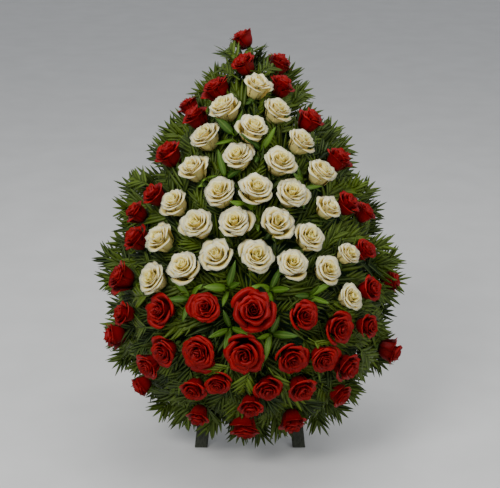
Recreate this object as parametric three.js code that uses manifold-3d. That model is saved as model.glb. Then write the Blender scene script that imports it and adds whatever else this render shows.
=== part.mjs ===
// A teardrop funeral wreath: white roses above red ones on a dome of floral foam, ringed with palm
// fronds, and leaning on a low wooden easel. Millimetres, +Z up; the wreath's face looks along -Y.
import * as THREE from "three";
import { mergeVertices } from "three/addons/utils/BufferGeometryUtils.js";
import Module from "manifold-3d";

const wasm = await Module();
wasm.setup();

// The wreath's own frame: x to the right, z up its face, and depth out of the backing board's front.
// Planting plan: [across, down, width] of each head in the front view, in plan units.
const PLAN_UNIT = 1.85; // real size of one plan unit at the depth of the rim
const PLAN_AXIS = { across: 250, down: 244 }; // where the view's axis meets the plan
const VIEW_DISTANCE = 2400; // from the eye to the rim
const WHITE_POSIES = [
  [[257, 87, 28], [224, 108, 33], [277, 111, 34]],
  [[206, 137, 31], [194, 170, 28], [238, 157, 36]],
  [[253, 129, 30], [301, 142, 27], [280, 162, 31]],
  [[321, 173, 28], [328, 209, 33], [291, 194, 30]],
  [[175, 203, 29], [161, 240, 32], [197, 225, 31]],
  [[220, 193, 36], [256, 189, 31], [235, 223, 34]],
  [[276, 224, 38], [309, 238, 36], [292, 264, 32]],
  [[153, 279, 34], [184, 267, 30]],
  [[218, 257, 36], [256, 257, 37]],
  [[348, 254, 30], [327, 270, 36], [350, 297, 30]],
];
const RED_POSIES = [
  [[243, 38, 22], [244, 64, 24], [278, 64, 24]],
  [[281, 86, 24], [310, 121, 25]],
  [[217, 88, 27], [189, 105, 20], [196, 118, 25]],
  [[338, 160, 26], [347, 204, 23], [365, 213, 22]],
  [[170, 154, 27], [155, 196, 24]],
  [[137, 213, 22], [137, 239, 26]],
  [[365, 250, 23], [369, 289, 24], [390, 281, 22]],
  [[121, 277, 28], [124, 314, 22], [115, 335, 25]],
  [[162, 311, 29], [165, 352, 29]],
  [[149, 366, 24], [141, 386, 22]],
  [[206, 308, 29], [200, 351, 37]],
  [[253, 311, 42], [245, 353, 36]],
  [[303, 316, 27], [291, 357, 31], [323, 358, 29]],
  [[338, 328, 29], [346, 366, 27], [340, 395, 24]],
  [[367, 326, 22], [390, 351, 25]],
  [[194, 388, 26], [218, 383, 25], [199, 415, 22]],
  [[251, 405, 24], [245, 428, 29]],
  [[268, 387, 28], [301, 387, 27], [292, 421, 25]],
];
const SPRAYS = [
  [231, 131], [263, 147], [222, 174], [306, 184], [256, 207], [186, 299],
  [226, 288], [272, 290], [313, 296], [229, 331], [272, 337],
];

// The dome that the middles of the heads lie on
const RIM_HALF_WIDTH = 258;
const RIM_TOP = 381;
const RIM_BOTTOM = -344;
const RIM_DEPTH = 45;
const DOME_DEPTH = 185;
const STEEPEST = 0.985; // how far out the dome's slope still counts; past it a head leans no further
const SPLAY = 0.25; // how much further than the dome's normal a head leans outwards at the rim

// Heads and stems
const HEAD_SCALE = 1.1; // the points of a head's rim reach a little past its width on the plan
const HEAD_CLEARANCE = 0.48; // a head's radius over the distance to its nearest neighbour, at most
const PETALS = 5;
const STEM_RADIUS = 3;
const ROOT_DEPTH = 95; // from the heads to the point where a posy's stems cross
const STEM_END = 20; // from there to the stems' ends
const STEM_GAP = 0.4; // round a stem in its hole
const HOLE_END = 9; // from a stem's end to the bottom of its hole
const FIT_GAP = 0.3; // between pieces that rest on each other

// Foam and board
const FOAM_INSET = 45;
const FOAM_TIP_DROP = 70;
const BOARD_MARGIN = 10;
const BOARD_THICKNESS = 6;
const RING_SIDES = 26;

// Fronds and leaf sprays
const FROND_FORKS = 13;
const FROND_LENGTH = 56;
const FROND_ARCH = 40; // how far a frond's free end may bow out of its plane
const FROND_DEPTHS = [5, 9.5]; // neighbouring fronds lie one behind the other
const FORK_ANGLE = 20;
const LEAFLETS = 5; // on the outer side of a frond's rib
const INNER_LEAFLETS = 3;
const LEAFLET_LENGTH = 46;
const LEAFLET_ANGLE = 36;
const RIB_WIDTH = 4;
const BLADE_THICKNESS = 1.6;
const STALK_IN_FOAM = 26;
const STALK_OUT = 5; // straight stalk outside the foam
const FORK_AT = 14;
const SPRAY_LEAF = { length: 54, width: 15, thickness: 1.4 };
const SPRAY_STEM_RADIUS = 2.6;
const SPRAY_DEPTH = 24; // below the heads' middles, where a spray's leaves part
const SPRAY_STEM = { below: 62, above: 24 }; // from there to the stem's ends
const SPRAY_REACH = 78; // the heads that a spray's leaves part between are this near
const CROWDED_WITHIN = 150; // and these are cleared

// Easel
const LEAN = 20; // degrees that the wreath leans back
const FACE_HEIGHT = 364; // of the plan's axis at the board, above the floor
const LEG = { width: 24, thickness: 12 };
const LEG_FOOT_X = 96;
const LEG_TOP = { x: 26, z: 236 };
const LEDGE = { length: 220, height: 20 };
const RAIL = { z: -190, height: 24, thickness: 10 };
const BLOCK = { z: 205, width: 92, height: 40, thickness: 22 };
const REAR_FOOT_Y = 205;
const LEG_SPARE = 30; // a leg's extra length, which is cut off at the floor and at the block

const COLOURS = {
  white: new THREE.MeshStandardMaterial({ color: 0xe9dfae, roughness: 0.55 }),
  red: new THREE.MeshStandardMaterial({ color: 0xa50f0c, roughness: 0.5 }),
  frond: new THREE.MeshStandardMaterial({ color: 0x35591c, roughness: 0.45 }),
  leaf: new THREE.MeshStandardMaterial({ color: 0x44701d, roughness: 0.4 }),
  foam: new THREE.MeshStandardMaterial({ color: 0x24402a, roughness: 0.95 }),
  wood: new THREE.MeshStandardMaterial({ color: 0x2d3327, roughness: 0.6 }),
};

const TEARDROP_PEAK = 4 / (3 * Math.sqrt(3)); // greatest value of sin(t) sin(t / 2)
const degrees = THREE.MathUtils.degToRad;
const seeded = (n) => THREE.MathUtils.euclideanModulo(Math.sin(n * 12.9898) * 43758.5453, 1);
const at = (x, depth, z) => new THREE.Vector3(x, -depth, z);

// Solids

// A solid from points and triangles, turned to face out.
function solid(points, triangles) {
  const vertProperties = new Float32Array(points.flatMap((p) => [p.x, p.y, p.z]));
  const volume = triangles.reduce(
    (sum, [a, b, c]) => sum + points[a].dot(points[b].clone().cross(points[c])), 0);
  const facing = volume < 0 ? triangles.map(([a, b, c]) => [a, c, b]) : triangles;
  return new wasm.Manifold(
    new wasm.Mesh({ numProp: 3, vertProperties, triVerts: new Uint32Array(facing.flat()) }));
}

function solidOf(geometry) {
  const bare = geometry.clone();
  bare.deleteAttribute("normal");
  bare.deleteAttribute("uv");
  const merged = mergeVertices(bare);
  return new wasm.Manifold(new wasm.Mesh({
    numProp: 3,
    vertProperties: merged.attributes.position.array,
    triVerts: new Uint32Array(merged.index.array),
  }));
}

function geometryOf(body) {
  const mesh = body.getMesh();
  const geometry = new THREE.BufferGeometry();
  geometry.setAttribute("position", new THREE.BufferAttribute(mesh.vertProperties, 3));
  geometry.setIndex(new THREE.BufferAttribute(mesh.triVerts, 1));
  return geometry.toNonIndexed();
}

const joined = (bodies) => bodies.reduce((all, body) => all.add(body));
const largest = (body) => body.decompose().reduce((a, b) => (a.volume() > b.volume() ? a : b));

// A closed skin over rings of points with a point at each end. A ring is as long as the one before it,
// or twice or half as long.
function skin(start, rings, end) {
  const points = [start, ...rings.flat(), end];
  const triangles = [];
  const band = (few, many, flip) => {
    const step = many.length / few.length;
    few.forEach((a, i) => {
      const above = (n) => many[(step * i + n) % many.length];
      const fan = [[a, few[(i + 1) % few.length], above(step)]];
      for (let n = 0; n < step; n++) fan.push([a, above(n + 1), above(n)]);
      triangles.push(...(flip ? fan.map(([p, q, r]) => [p, r, q]) : fan));
    });
  };
  let next = 1;
  const loops = [[0], ...rings.map((ring) => ring.map(() => next++))];
  const cap = (tip, loop, flip) => loop.forEach((a, i) => {
    const b = loop[(i + 1) % loop.length];
    triangles.push(flip ? [tip, a, b] : [tip, b, a]);
  });
  cap(0, loops[1], false);
  for (let k = 2; k < loops.length; k++) {
    if (loops[k].length < loops[k - 1].length) band(loops[k], loops[k - 1], true);
    else band(loops[k - 1], loops[k], false);
  }
  cap(next, loops.at(-1), true);
  return solid(points, triangles);
}

// The dome

// A point of a teardrop outline: t runs from 0 at the tip to pi at the bottom, and on up the other side.
function teardrop({ halfWidth, top, bottom }, t) {
  const width = (Math.sin(t) * Math.abs(Math.sin(t / 2))) / TEARDROP_PEAK;
  return new THREE.Vector2(halfWidth * width, (top + bottom) / 2 + ((top - bottom) / 2) * Math.cos(t));
}

const teardropRing = (drop) =>
  Array.from({ length: RING_SIDES }, (_, i) => teardrop(drop, ((i + 0.5) / RING_SIDES) * 2 * Math.PI));

// The widest height, where cos(t) is -1/3.
const poleHeight = ({ top, bottom }) => (top + bottom) / 2 - (top - bottom) / 6;

// How far out a point lies between the teardrop's pole, 0, and its outline, 1.
function outness(drop, x, z) {
  const pole = poleHeight(drop);
  const wanted = Math.atan2(Math.abs(x), z - pole);
  let [low, high] = [0, Math.PI];
  for (let i = 0; i < 40; i++) {
    const t = (low + high) / 2;
    const p = teardrop(drop, t);
    if (Math.atan2(p.x, p.y - pole) < wanted) low = t;
    else high = t;
  }
  const rim = teardrop(drop, low);
  return Math.hypot(x, z - pole) / Math.hypot(rim.x, rim.y - pole);
}

const RIM = { halfWidth: RIM_HALF_WIDTH, top: RIM_TOP, bottom: RIM_BOTTOM };
const FOAM = {
  halfWidth: RIM_HALF_WIDTH - FOAM_INSET,
  top: RIM_TOP - FOAM_TIP_DROP,
  bottom: RIM_BOTTOM + FOAM_INSET,
};
const BOARD = {
  halfWidth: FOAM.halfWidth + BOARD_MARGIN,
  top: FOAM.top + BOARD_MARGIN,
  bottom: FOAM.bottom - BOARD_MARGIN,
};

const domeDepth = (x, z) =>
  RIM_DEPTH + DOME_DEPTH * Math.sqrt(1 - Math.min(outness(RIM, x, z), 1) ** 2);

// The dome's outward direction, leaning further out towards the rim.
function domeNormal(x, z) {
  const step = 0.5;
  const pole = poleHeight(RIM);
  const inside = Math.min(1, STEEPEST / outness(RIM, x, z));
  const [u, w] = [x * inside, pole + (z - pole) * inside];
  const slopeX = (domeDepth(u + step, w) - domeDepth(u - step, w)) / (2 * step);
  const slopeZ = (domeDepth(u, w + step) - domeDepth(u, w - step)) / (2 * step);
  const normal = at(-slopeX, 1, -slopeZ).normalize();
  const outwards = at(x, 0, z - pole).normalize().multiplyScalar(SPLAY * outness(RIM, x, z));
  return normal.add(outwards).normalize();
}

// A place of the planting plan, brought onto the dome along the line of sight.
function planted([across, down, width = 0]) {
  let [x, z, unit] = [0, 0, PLAN_UNIT];
  let depth = RIM_DEPTH + DOME_DEPTH;
  for (let i = 0; i < 12; i++) {
    unit = PLAN_UNIT * (1 - (depth - RIM_DEPTH) / VIEW_DISTANCE);
    x = (across - PLAN_AXIS.across) * unit;
    z = (PLAN_AXIS.down - down) * unit;
    depth = (depth + domeDepth(x, z)) / 2;
  }
  return { middle: at(x, depth, z), normal: domeNormal(x, z), radius: (HEAD_SCALE * width * unit) / 2 };
}

// Two directions square to an axis, turned about it.
function across(axis, turn) {
  const side = new THREE.Vector3(0, 0, 1).cross(axis);
  if (side.length() < 0.01) side.set(1, 0, 0);
  side.normalize().applyAxisAngle(axis, turn);
  return [side, axis.clone().cross(side)];
}

// Roses

// Rings of a head from the outside in, in head radii: [radius, height] at each petal's tip and in the gap
// beside it, or at one point a petal in the troughs between the rims, and the ring's turn in petals.
const OUTER_PETALS = [
  { tip: [0.7, -0.42], gap: [0.66, -0.42], turn: 0 },
  { tip: [1, 0.2], gap: [0.82, 0.05], turn: 0 },
  { tip: [0.66, 0.06], turn: 0.3 },
];
const WHITE_HEAD = [
  ...OUTER_PETALS,
  { tip: [0.74, 0.48], gap: [0.58, 0.36], turn: 0.4 },
  { tip: [0.45, 0.26], turn: 0.7 },
  { tip: [0.46, 0.64], gap: [0.34, 0.52], turn: 0.8 },
  { tip: [0.22, 0.4], turn: 1.1 },
];
const RED_HEAD = [
  ...OUTER_PETALS,
  { tip: [0.64, 0.54], gap: [0.48, 0.42], turn: 0.4 },
  { tip: [0.32, 0.3], turn: 0.7 },
];
const NECK = -0.86;
const BUD = 0.62;
const GAP_TURN = 0.62; // where the gap is between one petal's tip and the next

const headPoint = (head, radius, height, angle) => {
  const [u, v] = across(head.normal, head.turn);
  return head.middle.clone()
    .addScaledVector(u, head.radius * radius * Math.cos(angle))
    .addScaledVector(v, head.radius * radius * Math.sin(angle))
    .addScaledVector(head.normal, head.radius * height);
};

// A point past the root, on the line from a head's neck.
const beyond = (neck, root, length) => root.clone().add(root.clone().sub(neck).setLength(length));

function stemRing(head, sides, radius) {
  return Array.from({ length: sides }, (_, i) =>
    headPoint(head, radius / head.radius, NECK, (i * 2 * Math.PI) / sides));
}

function rose(head, root, rings) {
  const petal = (2 * Math.PI) / PETALS;
  const petalRings = rings.map(({ tip, gap, turn }) =>
    Array.from({ length: PETALS }, (_, i) => {
      const edge = headPoint(head, ...tip, (i + turn) * petal);
      return gap ? [edge, headPoint(head, ...gap, (i + turn + GAP_TURN) * petal)] : [edge];
    }).flat());
  const stemEnd = beyond(headPoint(head, 0, NECK, 0), root, STEM_END);
  return skin(stemEnd, [stemRing(head, PETALS, STEM_RADIUS), ...petalRings], headPoint(head, 0, BUD, 0));
}

// The room that a head and its stem need, with a little air.
function roseRoom(head, root) {
  const air = 1.6 / head.radius;
  const sides = 8;
  const profile = [[0.72, -0.46], [1.02, 0], [1.02, 0.26], [0.72, 0.62]];
  const rings = profile.map(([radius, height]) =>
    Array.from({ length: sides }, (_, i) =>
      headPoint(head, radius + air, height + (height > 0 ? air : 0), (i * 2 * Math.PI) / sides)));
  const neck = stemRing(head, sides / 2, STEM_RADIUS + 2);
  return skin(root, [neck, ...rings], headPoint(head, 0, 0.62 + air, 0));
}

// A plain three-sided hole for a stem, a little wider than the stem all the way in.
function stemHole(head, root, radius, past) {
  const neck = headPoint(head, 0, NECK, 0);
  const corners = (radius + STEM_GAP) / Math.cos(Math.PI / 3);
  return skin(beyond(neck, root, past + HOLE_END), [stemRing(head, 3, corners)], neck);
}

function posyOf(plan) {
  const heads = plan.map(planted);
  const middle = heads.reduce((sum, h) => sum.add(h.middle), new THREE.Vector3()).divideScalar(heads.length);
  const axis = heads.reduce((sum, h) => sum.add(h.normal), new THREE.Vector3()).normalize();
  return { heads, root: middle.addScaledVector(axis, -ROOT_DEPTH) };
}

const whitePosies = WHITE_POSIES.map(posyOf);
const redPosies = RED_POSIES.map(posyOf);
const posies = [...whitePosies, ...redPosies];
const heads = posies.flatMap((posy) => posy.heads.map((head) => Object.assign(head, { root: posy.root })));
heads.forEach((head, i) => {
  const nearest = Math.min(...heads.filter((h) => h !== head).map((h) => h.middle.distanceTo(head.middle)));
  head.radius = Math.min(head.radius, HEAD_CLEARANCE * nearest);
  head.turn = seeded(i + 1) * 2 * Math.PI;
});

const posySolid = (posy, rings) => joined(posy.heads.map((head) => rose(head, posy.root, rings)));

// Fronds

// One frond's outline in its own plane, along and across its rib, from the left of its foot to the right.
// The side towards its twin has fewer and shorter leaflets.
function frondOutline(innerSide) {
  const side = (sign) => {
    const [count, reach] = sign === innerSide ? [INNER_LEAFLETS, 0.55] : [LEAFLETS, 1];
    const step = (FROND_LENGTH * 0.8) / count;
    const rib = (sign * RIB_WIDTH) / 2;
    return Array.from({ length: count }, (_, i) => {
      const foot = FROND_LENGTH * 0.2 + i * step;
      const length = LEAFLET_LENGTH * reach * (0.78 + 0.22 * Math.sin((Math.PI * (i + 1)) / count));
      const angle = degrees(LEAFLET_ANGLE - 3 * i);
      return [
        new THREE.Vector2(foot, rib),
        new THREE.Vector2(foot + length * Math.cos(angle), rib + sign * length * Math.sin(angle)),
        new THREE.Vector2(foot + step * 0.8, rib),
      ];
    }).flat();
  };
  const tip = new THREE.Vector2(FROND_LENGTH + LEAFLET_LENGTH * 0.62, 0);
  return [...side(-1), tip, ...side(1).reverse()];
}

// A forked pair of fronds on one stalk, as one thin arched blade.
function frondPair(foot, outwards, depth, arch) {
  const fork = degrees(FORK_ANGLE);
  const turned = (points, angle) => points.map((p) => p.clone().rotateAround(new THREE.Vector2(), angle));
  const half = RIB_WIDTH / 2;
  const outline = [
    new THREE.Vector2(-STALK_IN_FOAM, -half),
    new THREE.Vector2(STALK_OUT, -half),
    ...turned(frondOutline(1), -fork),
    new THREE.Vector2(FORK_AT, 0),
    ...turned(frondOutline(-1), fork),
    new THREE.Vector2(STALK_OUT, half),
    new THREE.Vector2(-STALK_IN_FOAM, half),
  ];
  const faces = THREE.ShapeUtils.triangulateShape(outline, []);
  const count = outline.length;
  const place = (p, lift) => {
    const free = Math.max(0, p.x - FROND_LENGTH * 0.6) / FROND_LENGTH;
    return at(
      foot.x + outwards.x * p.x - outwards.y * p.y,
      depth + arch * free * free + lift,
      foot.y + outwards.y * p.x + outwards.x * p.y);
  };
  const points = [-1, 1].flatMap((s) => outline.map((p) => place(p, (s * BLADE_THICKNESS) / 2)));
  const triangles = faces.flatMap(([a, b, c]) => [[a, c, b], [a + count, b + count, c + count]]);
  for (let i = 0; i < count; i++) {
    const j = (i + 1) % count;
    triangles.push([i, j, j + count], [i, j + count, i + count]);
  }
  return solid(points, triangles);
}

// Feet of the frond pairs, evenly spaced round the foam's side.
function frondFeet() {
  const steps = 720;
  const points = Array.from({ length: steps + 1 }, (_, i) => teardrop(FOAM, (i / steps) * 2 * Math.PI));
  const lengths = points.map((p, i) => (i ? p.distanceTo(points[i - 1]) : 0));
  const total = lengths.reduce((a, b) => a + b);
  const feet = [];
  let run = 0;
  for (let i = 1; i <= steps; i++) {
    run += lengths[i];
    if (feet.length < FROND_FORKS && run >= ((feet.length + 0.5) * total) / FROND_FORKS) {
      const along = points[i].clone().sub(points[i - 1]).normalize();
      const outwards = new THREE.Vector2(-along.y, along.x);
      if (outwards.dot(points[i].clone().sub(new THREE.Vector2(0, poleHeight(FOAM)))) < 0) outwards.negate();
      feet.push({ foot: points[i], outwards, depth: FROND_DEPTHS[feet.length % 2] });
    }
  }
  return feet;
}

const fronds = frondFeet();

function stalkHole({ foot, outwards, depth }) {
  const length = 2 * STALK_IN_FOAM + 2;
  const box = new THREE.BoxGeometry(length, BLADE_THICKNESS + 2 * FIT_GAP, RIB_WIDTH + 2 * FIT_GAP);
  const turn = Math.atan2(outwards.y, outwards.x);
  box.rotateY(-turn).translate(foot.x, -depth, foot.y);
  return solidOf(box);
}

// Leaf sprays

// A pointed leaf as a thin lens with a ridge along its midrib.
function leaf(foot, along, face, { length, width, thickness }) {
  const side = along.clone().cross(face).normalize();
  const belly = foot.clone().addScaledVector(along, length * 0.45);
  const points = [
    foot, foot.clone().addScaledVector(along, length),
    belly.clone().addScaledVector(side, width / 2), belly.clone().addScaledVector(side, -width / 2),
    belly.clone().addScaledVector(face, thickness), belly.clone().addScaledVector(face, -thickness),
  ];
  return solid(points, [
    [0, 2, 4], [0, 4, 3], [1, 4, 2], [1, 3, 4], [0, 5, 2], [0, 3, 5], [1, 2, 5], [1, 5, 3],
  ]);
}

// A short stem whose leaves part one above the other, each between two of the heads around it.
function spray(place) {
  const { middle, normal } = planted(place);
  const up = (height) => middle.clone().addScaledVector(normal, height - SPRAY_DEPTH);
  const root = up(-SPRAY_STEM.below);
  const stem = { middle: up(0), normal, radius: 1, turn: 0 };
  const stalk = skin(root, [stemRing(stem, 4, SPRAY_STEM_RADIUS)], up(SPRAY_STEM.above));
  const [right, over] = across(normal, 0);
  const near = heads.filter((h) => h.middle.distanceTo(middle) < CROWDED_WITHIN);
  const bearing = (h) => {
    const away = h.middle.clone().sub(middle);
    return Math.atan2(away.dot(over), away.dot(right));
  };
  const closest = near.filter((h) => h.middle.distanceTo(middle) < SPRAY_REACH);
  const around = closest.map(bearing).sort((a, b) => a - b);
  const leaves = around.map((angle, i) => {
    const next = i + 1 < around.length ? around[i + 1] : around[0] + 2 * Math.PI;
    const between = (angle + next) / 2;
    const out = right.clone().multiplyScalar(Math.cos(between)).addScaledVector(over, Math.sin(between));
    const rise = degrees(34 + 16 * (i % 2));
    const along = out.clone().multiplyScalar(Math.cos(rise)).addScaledVector(normal, Math.sin(rise));
    const foot = up(3.2 * i).addScaledVector(out, -0.6);
    const face = normal.clone().cross(along).cross(along).normalize();
    return leaf(foot, along, face, SPRAY_LEAF);
  });
  const clear = joined([stalk, ...leaves]).subtract(joined(near.map((h) => roseRoom(h, h.root))));
  return { body: largest(clear), stem, root };
}

const sprays = SPRAYS.map(spray);

// Foam and board

function foam() {
  const outline = teardropRing(FOAM);
  const pole = new THREE.Vector2(0, poleHeight(FOAM));
  const ring = (out, depth) => outline.map((p) => {
    const q = pole.clone().lerp(p, out);
    return at(q.x, depth, q.y);
  });
  const height = DOME_DEPTH - FOAM_INSET;
  const dome = [1, 0.88, 0.6].map((out) => ring(out, RIM_DEPTH + height * Math.sqrt(1 - out * out)));
  const block = skin(at(0, FIT_GAP, pole.y), [ring(1, FIT_GAP), ...dome], at(0, RIM_DEPTH + height, pole.y));
  const holes = [
    ...heads.map((h) => stemHole(h, h.root, STEM_RADIUS, STEM_END)),
    ...sprays.map(({ stem, root }) => stemHole(stem, root, SPRAY_STEM_RADIUS, 0)),
    ...fronds.map(stalkHole),
  ];
  return largest(block.subtract(joined(holes)));
}

function boardGeometry() {
  const outline = new THREE.Shape(teardropRing(BOARD));
  const plate = new THREE.ExtrudeGeometry(outline, { depth: BOARD_THICKNESS, bevelEnabled: false });
  return plate.rotateX(Math.PI / 2).translate(0, BOARD_THICKNESS, 0);
}

// Assembly

const wreath = new THREE.Group();
const easel = new THREE.Group();

function add(group, name, geometry, material) {
  const mesh = new THREE.Mesh(geometry, material.clone());
  mesh.name = name;
  group.add(mesh);
  return mesh;
}

const numbered = (name, i) => `${name}_${String(i + 1).padStart(2, "0")}`;
whitePosies.forEach((posy, i) =>
  add(wreath, numbered("white_roses", i), geometryOf(posySolid(posy, WHITE_HEAD)), COLOURS.white));
redPosies.forEach((posy, i) =>
  add(wreath, numbered("red_roses", i), geometryOf(posySolid(posy, RED_HEAD)), COLOURS.red));
fronds.forEach(({ foot, outwards, depth }, i) =>
  add(wreath, numbered("palm_fronds", i),
    geometryOf(frondPair(foot, outwards, depth, FROND_ARCH * (seeded(i + 70) - 0.25))), COLOURS.frond));
sprays.forEach(({ body }, i) => add(wreath, numbered("leaf_spray", i), geometryOf(body), COLOURS.leaf));
add(wreath, "floral_foam", geometryOf(foam()), COLOURS.foam);
add(wreath, "backing_board", boardGeometry(), COLOURS.wood);

// Easel: two front legs and a ledge in the leaning plane, tied by a rail and a block, and a rear leg.
const lean = degrees(LEAN);
const legLayer = -(BOARD_THICKNESS + FIT_GAP + LEG.thickness / 2); // depth of the front legs' middles
const backLayer = legLayer - LEG.thickness / 2 - FIT_GAP; // front of what is behind the front legs
const blockBack = backLayer - BLOCK.thickness - FIT_GAP;
const legBottom = -FACE_HEIGHT / Math.cos(lean) - LEG_SPARE;
const legSlope = (LEG_TOP.x - LEG_FOOT_X) / (LEG_TOP.z - legBottom);
const legX = (z) => LEG_TOP.x + legSlope * (z - LEG_TOP.z);

wreath.rotation.x = -lean;
wreath.position.z = FACE_HEIGHT;
wreath.updateMatrixWorld(true);

const CUT = 2000; // a block larger than the part, to cut with
const cutter = () => new THREE.BoxGeometry(CUT, CUT, CUT);
const belowFloor = solidOf(cutter().translate(0, 0, -CUT / 2));
const beforeBlock = solidOf(cutter().translate(0, -blockBack - CUT / 2, 0).applyMatrix4(wreath.matrixWorld));

// A front leg lies behind the board, and its foot is cut to the floor.
function frontLeg(side) {
  const slat = new THREE.BoxGeometry(LEG.width, LEG.thickness, LEG_TOP.z - legBottom);
  slat.rotateY(side * Math.atan(legSlope));
  slat.translate((side * (LEG_TOP.x + LEG_FOOT_X)) / 2, -legLayer, (LEG_TOP.z + legBottom) / 2);
  return solidOf(slat.applyMatrix4(wreath.matrixWorld)).subtract(belowFloor);
}

// The rear leg's head is cut to the block's back, and its foot to the floor.
function rearLeg() {
  const top = at(0, blockBack, BLOCK.z).applyMatrix4(wreath.matrixWorld);
  const foot = new THREE.Vector3(0, REAR_FOOT_Y, 0);
  const slat = new THREE.BoxGeometry(LEG.width, LEG.thickness, top.distanceTo(foot) + 2 * LEG_SPARE);
  slat.rotateX(Math.atan2(foot.y - top.y, top.z));
  slat.translate(...top.add(foot).divideScalar(2).toArray());
  return solidOf(slat).subtract(belowFloor).subtract(beforeBlock);
}

add(easel, "easel_leg_left", geometryOf(frontLeg(-1)), COLOURS.wood);
add(easel, "easel_leg_right", geometryOf(frontLeg(1)), COLOURS.wood);
add(easel, "easel_leg_rear", geometryOf(rearLeg()), COLOURS.wood);

const ledge = new THREE.BoxGeometry(LEDGE.length, BOARD_THICKNESS, LEDGE.height);
add(wreath, "easel_ledge", ledge, COLOURS.wood)
  .position.set(0, BOARD_THICKNESS / 2, BOARD.bottom - FIT_GAP - LEDGE.height / 2);
const rail = new THREE.BoxGeometry(2 * legX(RAIL.z) + LEG.width, RAIL.thickness, RAIL.height);
add(wreath, "easel_rail", rail, COLOURS.wood)
  .position.set(0, RAIL.thickness / 2 - backLayer, RAIL.z);
const block = new THREE.BoxGeometry(BLOCK.width, BLOCK.thickness, BLOCK.height);
add(wreath, "easel_block", block, COLOURS.wood)
  .position.set(0, BLOCK.thickness / 2 - backLayer, BLOCK.z);

// The part's origin is on the floor, under the middle of its box.
const part = new THREE.Group();
part.add(wreath, easel);
part.updateMatrixWorld(true);
const box = new THREE.Box3().setFromObject(part, true);
part.position.set(-(box.min.x + box.max.x) / 2, -(box.min.y + box.max.y) / 2, -box.min.z);

export default part;
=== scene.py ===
"""Dress a teardrop funeral wreath of white and red roses on its low easel.

The solids of the wreath are loaded as a fixed frame. Every posy, frond and leaf spray is then modelled again
as petals and leaves where its solid stands, the foam is planted with small foliage, and the board and the
easel get their finish. Lengths are millimetres in the wreath's own frame until a piece is placed in metres.
"""

from __future__ import annotations

import logging
import math
import random
from dataclasses import dataclass, field
from enum import Enum
from typing import Callable

import bpy
import numpy as np
from mathutils import Matrix, Vector

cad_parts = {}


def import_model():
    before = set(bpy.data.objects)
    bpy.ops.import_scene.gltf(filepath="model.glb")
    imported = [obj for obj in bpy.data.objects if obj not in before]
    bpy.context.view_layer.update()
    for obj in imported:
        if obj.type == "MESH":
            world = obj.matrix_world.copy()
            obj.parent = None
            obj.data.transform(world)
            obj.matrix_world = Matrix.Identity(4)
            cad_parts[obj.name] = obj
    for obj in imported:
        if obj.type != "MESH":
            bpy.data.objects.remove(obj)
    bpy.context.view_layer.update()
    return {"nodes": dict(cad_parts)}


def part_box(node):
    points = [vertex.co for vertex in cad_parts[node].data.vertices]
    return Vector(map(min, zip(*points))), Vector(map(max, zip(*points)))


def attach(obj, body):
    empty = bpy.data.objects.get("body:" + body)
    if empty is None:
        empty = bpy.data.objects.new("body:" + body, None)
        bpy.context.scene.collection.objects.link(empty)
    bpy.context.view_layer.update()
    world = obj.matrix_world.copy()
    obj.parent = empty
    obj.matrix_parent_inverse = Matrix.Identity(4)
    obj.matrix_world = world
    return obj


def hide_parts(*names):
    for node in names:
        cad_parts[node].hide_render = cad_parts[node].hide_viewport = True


log = logging.getLogger("wreath")

BODY = "root"
MM = 0.001
FULL_TURN = 2 * math.pi
MERGE_DISTANCE = 1e-5
TINY = 0.01
MIDDLE_TINT = 0.5
# The attribute back is 0 or 1 on a leaf, and this on a stalk.
STALK_MARK = 0.5

Place = tuple[float, float, float]
Colour = tuple[float, float, float]
Pair = tuple[float, float]
Shape = Callable[[np.ndarray, np.ndarray], np.ndarray]
Plant = Callable[[Vector, Vector, Vector, float, float], None]
Socket = bpy.types.NodeSocket

# The front view is planned in units that measure 1.85 mm at the depth of the rim.
PLAN_UNIT = 1.85
PLAN_WIDTH = 500
PLAN_AXIS = (250, 244)
VIEW_DISTANCE = 2400.0
# Across, down and width of each head in the front view, in plan units.
WHITE_POSIES: list[list[Place]] = [
    [(257, 87, 28), (224, 108, 33), (277, 111, 34)],
    [(206, 137, 31), (194, 170, 28), (238, 157, 36)],
    [(253, 129, 30), (301, 142, 27), (280, 162, 31)],
    [(321, 173, 28), (328, 209, 33), (291, 194, 30)],
    [(175, 203, 29), (161, 240, 32), (197, 225, 31)],
    [(220, 193, 36), (256, 189, 31), (235, 223, 34)],
    [(276, 224, 38), (309, 238, 36), (292, 264, 32)],
    [(153, 279, 34), (184, 267, 30)],
    [(218, 257, 36), (256, 257, 37)],
    [(348, 254, 30), (327, 270, 36), (350, 297, 30)],
]
RED_POSIES: list[list[Place]] = [
    [(243, 38, 22), (244, 64, 24), (278, 64, 24)],
    [(281, 86, 24), (310, 121, 25)],
    [(217, 88, 27), (189, 105, 20), (196, 118, 25)],
    [(338, 160, 26), (347, 204, 23), (365, 213, 22)],
    [(170, 154, 27), (155, 196, 24)],
    [(137, 213, 22), (137, 239, 26)],
    [(365, 250, 23), (369, 289, 24), (390, 281, 22)],
    [(121, 277, 28), (124, 314, 22), (115, 335, 25)],
    [(162, 311, 29), (165, 352, 29)],
    [(149, 366, 24), (141, 386, 22)],
    [(206, 308, 29), (200, 351, 37)],
    [(253, 311, 42), (245, 353, 36)],
    [(303, 316, 27), (291, 357, 31), (323, 358, 29)],
    [(338, 328, 29), (346, 366, 27), (340, 395, 24)],
    [(367, 326, 22), (390, 351, 25)],
    [(194, 388, 26), (218, 383, 25), (199, 415, 22)],
    [(251, 405, 24), (245, 428, 29)],
    [(268, 387, 28), (301, 387, 27), (292, 421, 25)],
]
# Across and down of each leaf spray.
SPRAYS: list[Pair] = [
    (231, 131), (263, 147), (222, 174), (306, 184), (256, 207), (186, 299),
    (226, 288), (272, 290), (313, 296), (229, 331), (272, 337),
]
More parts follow.
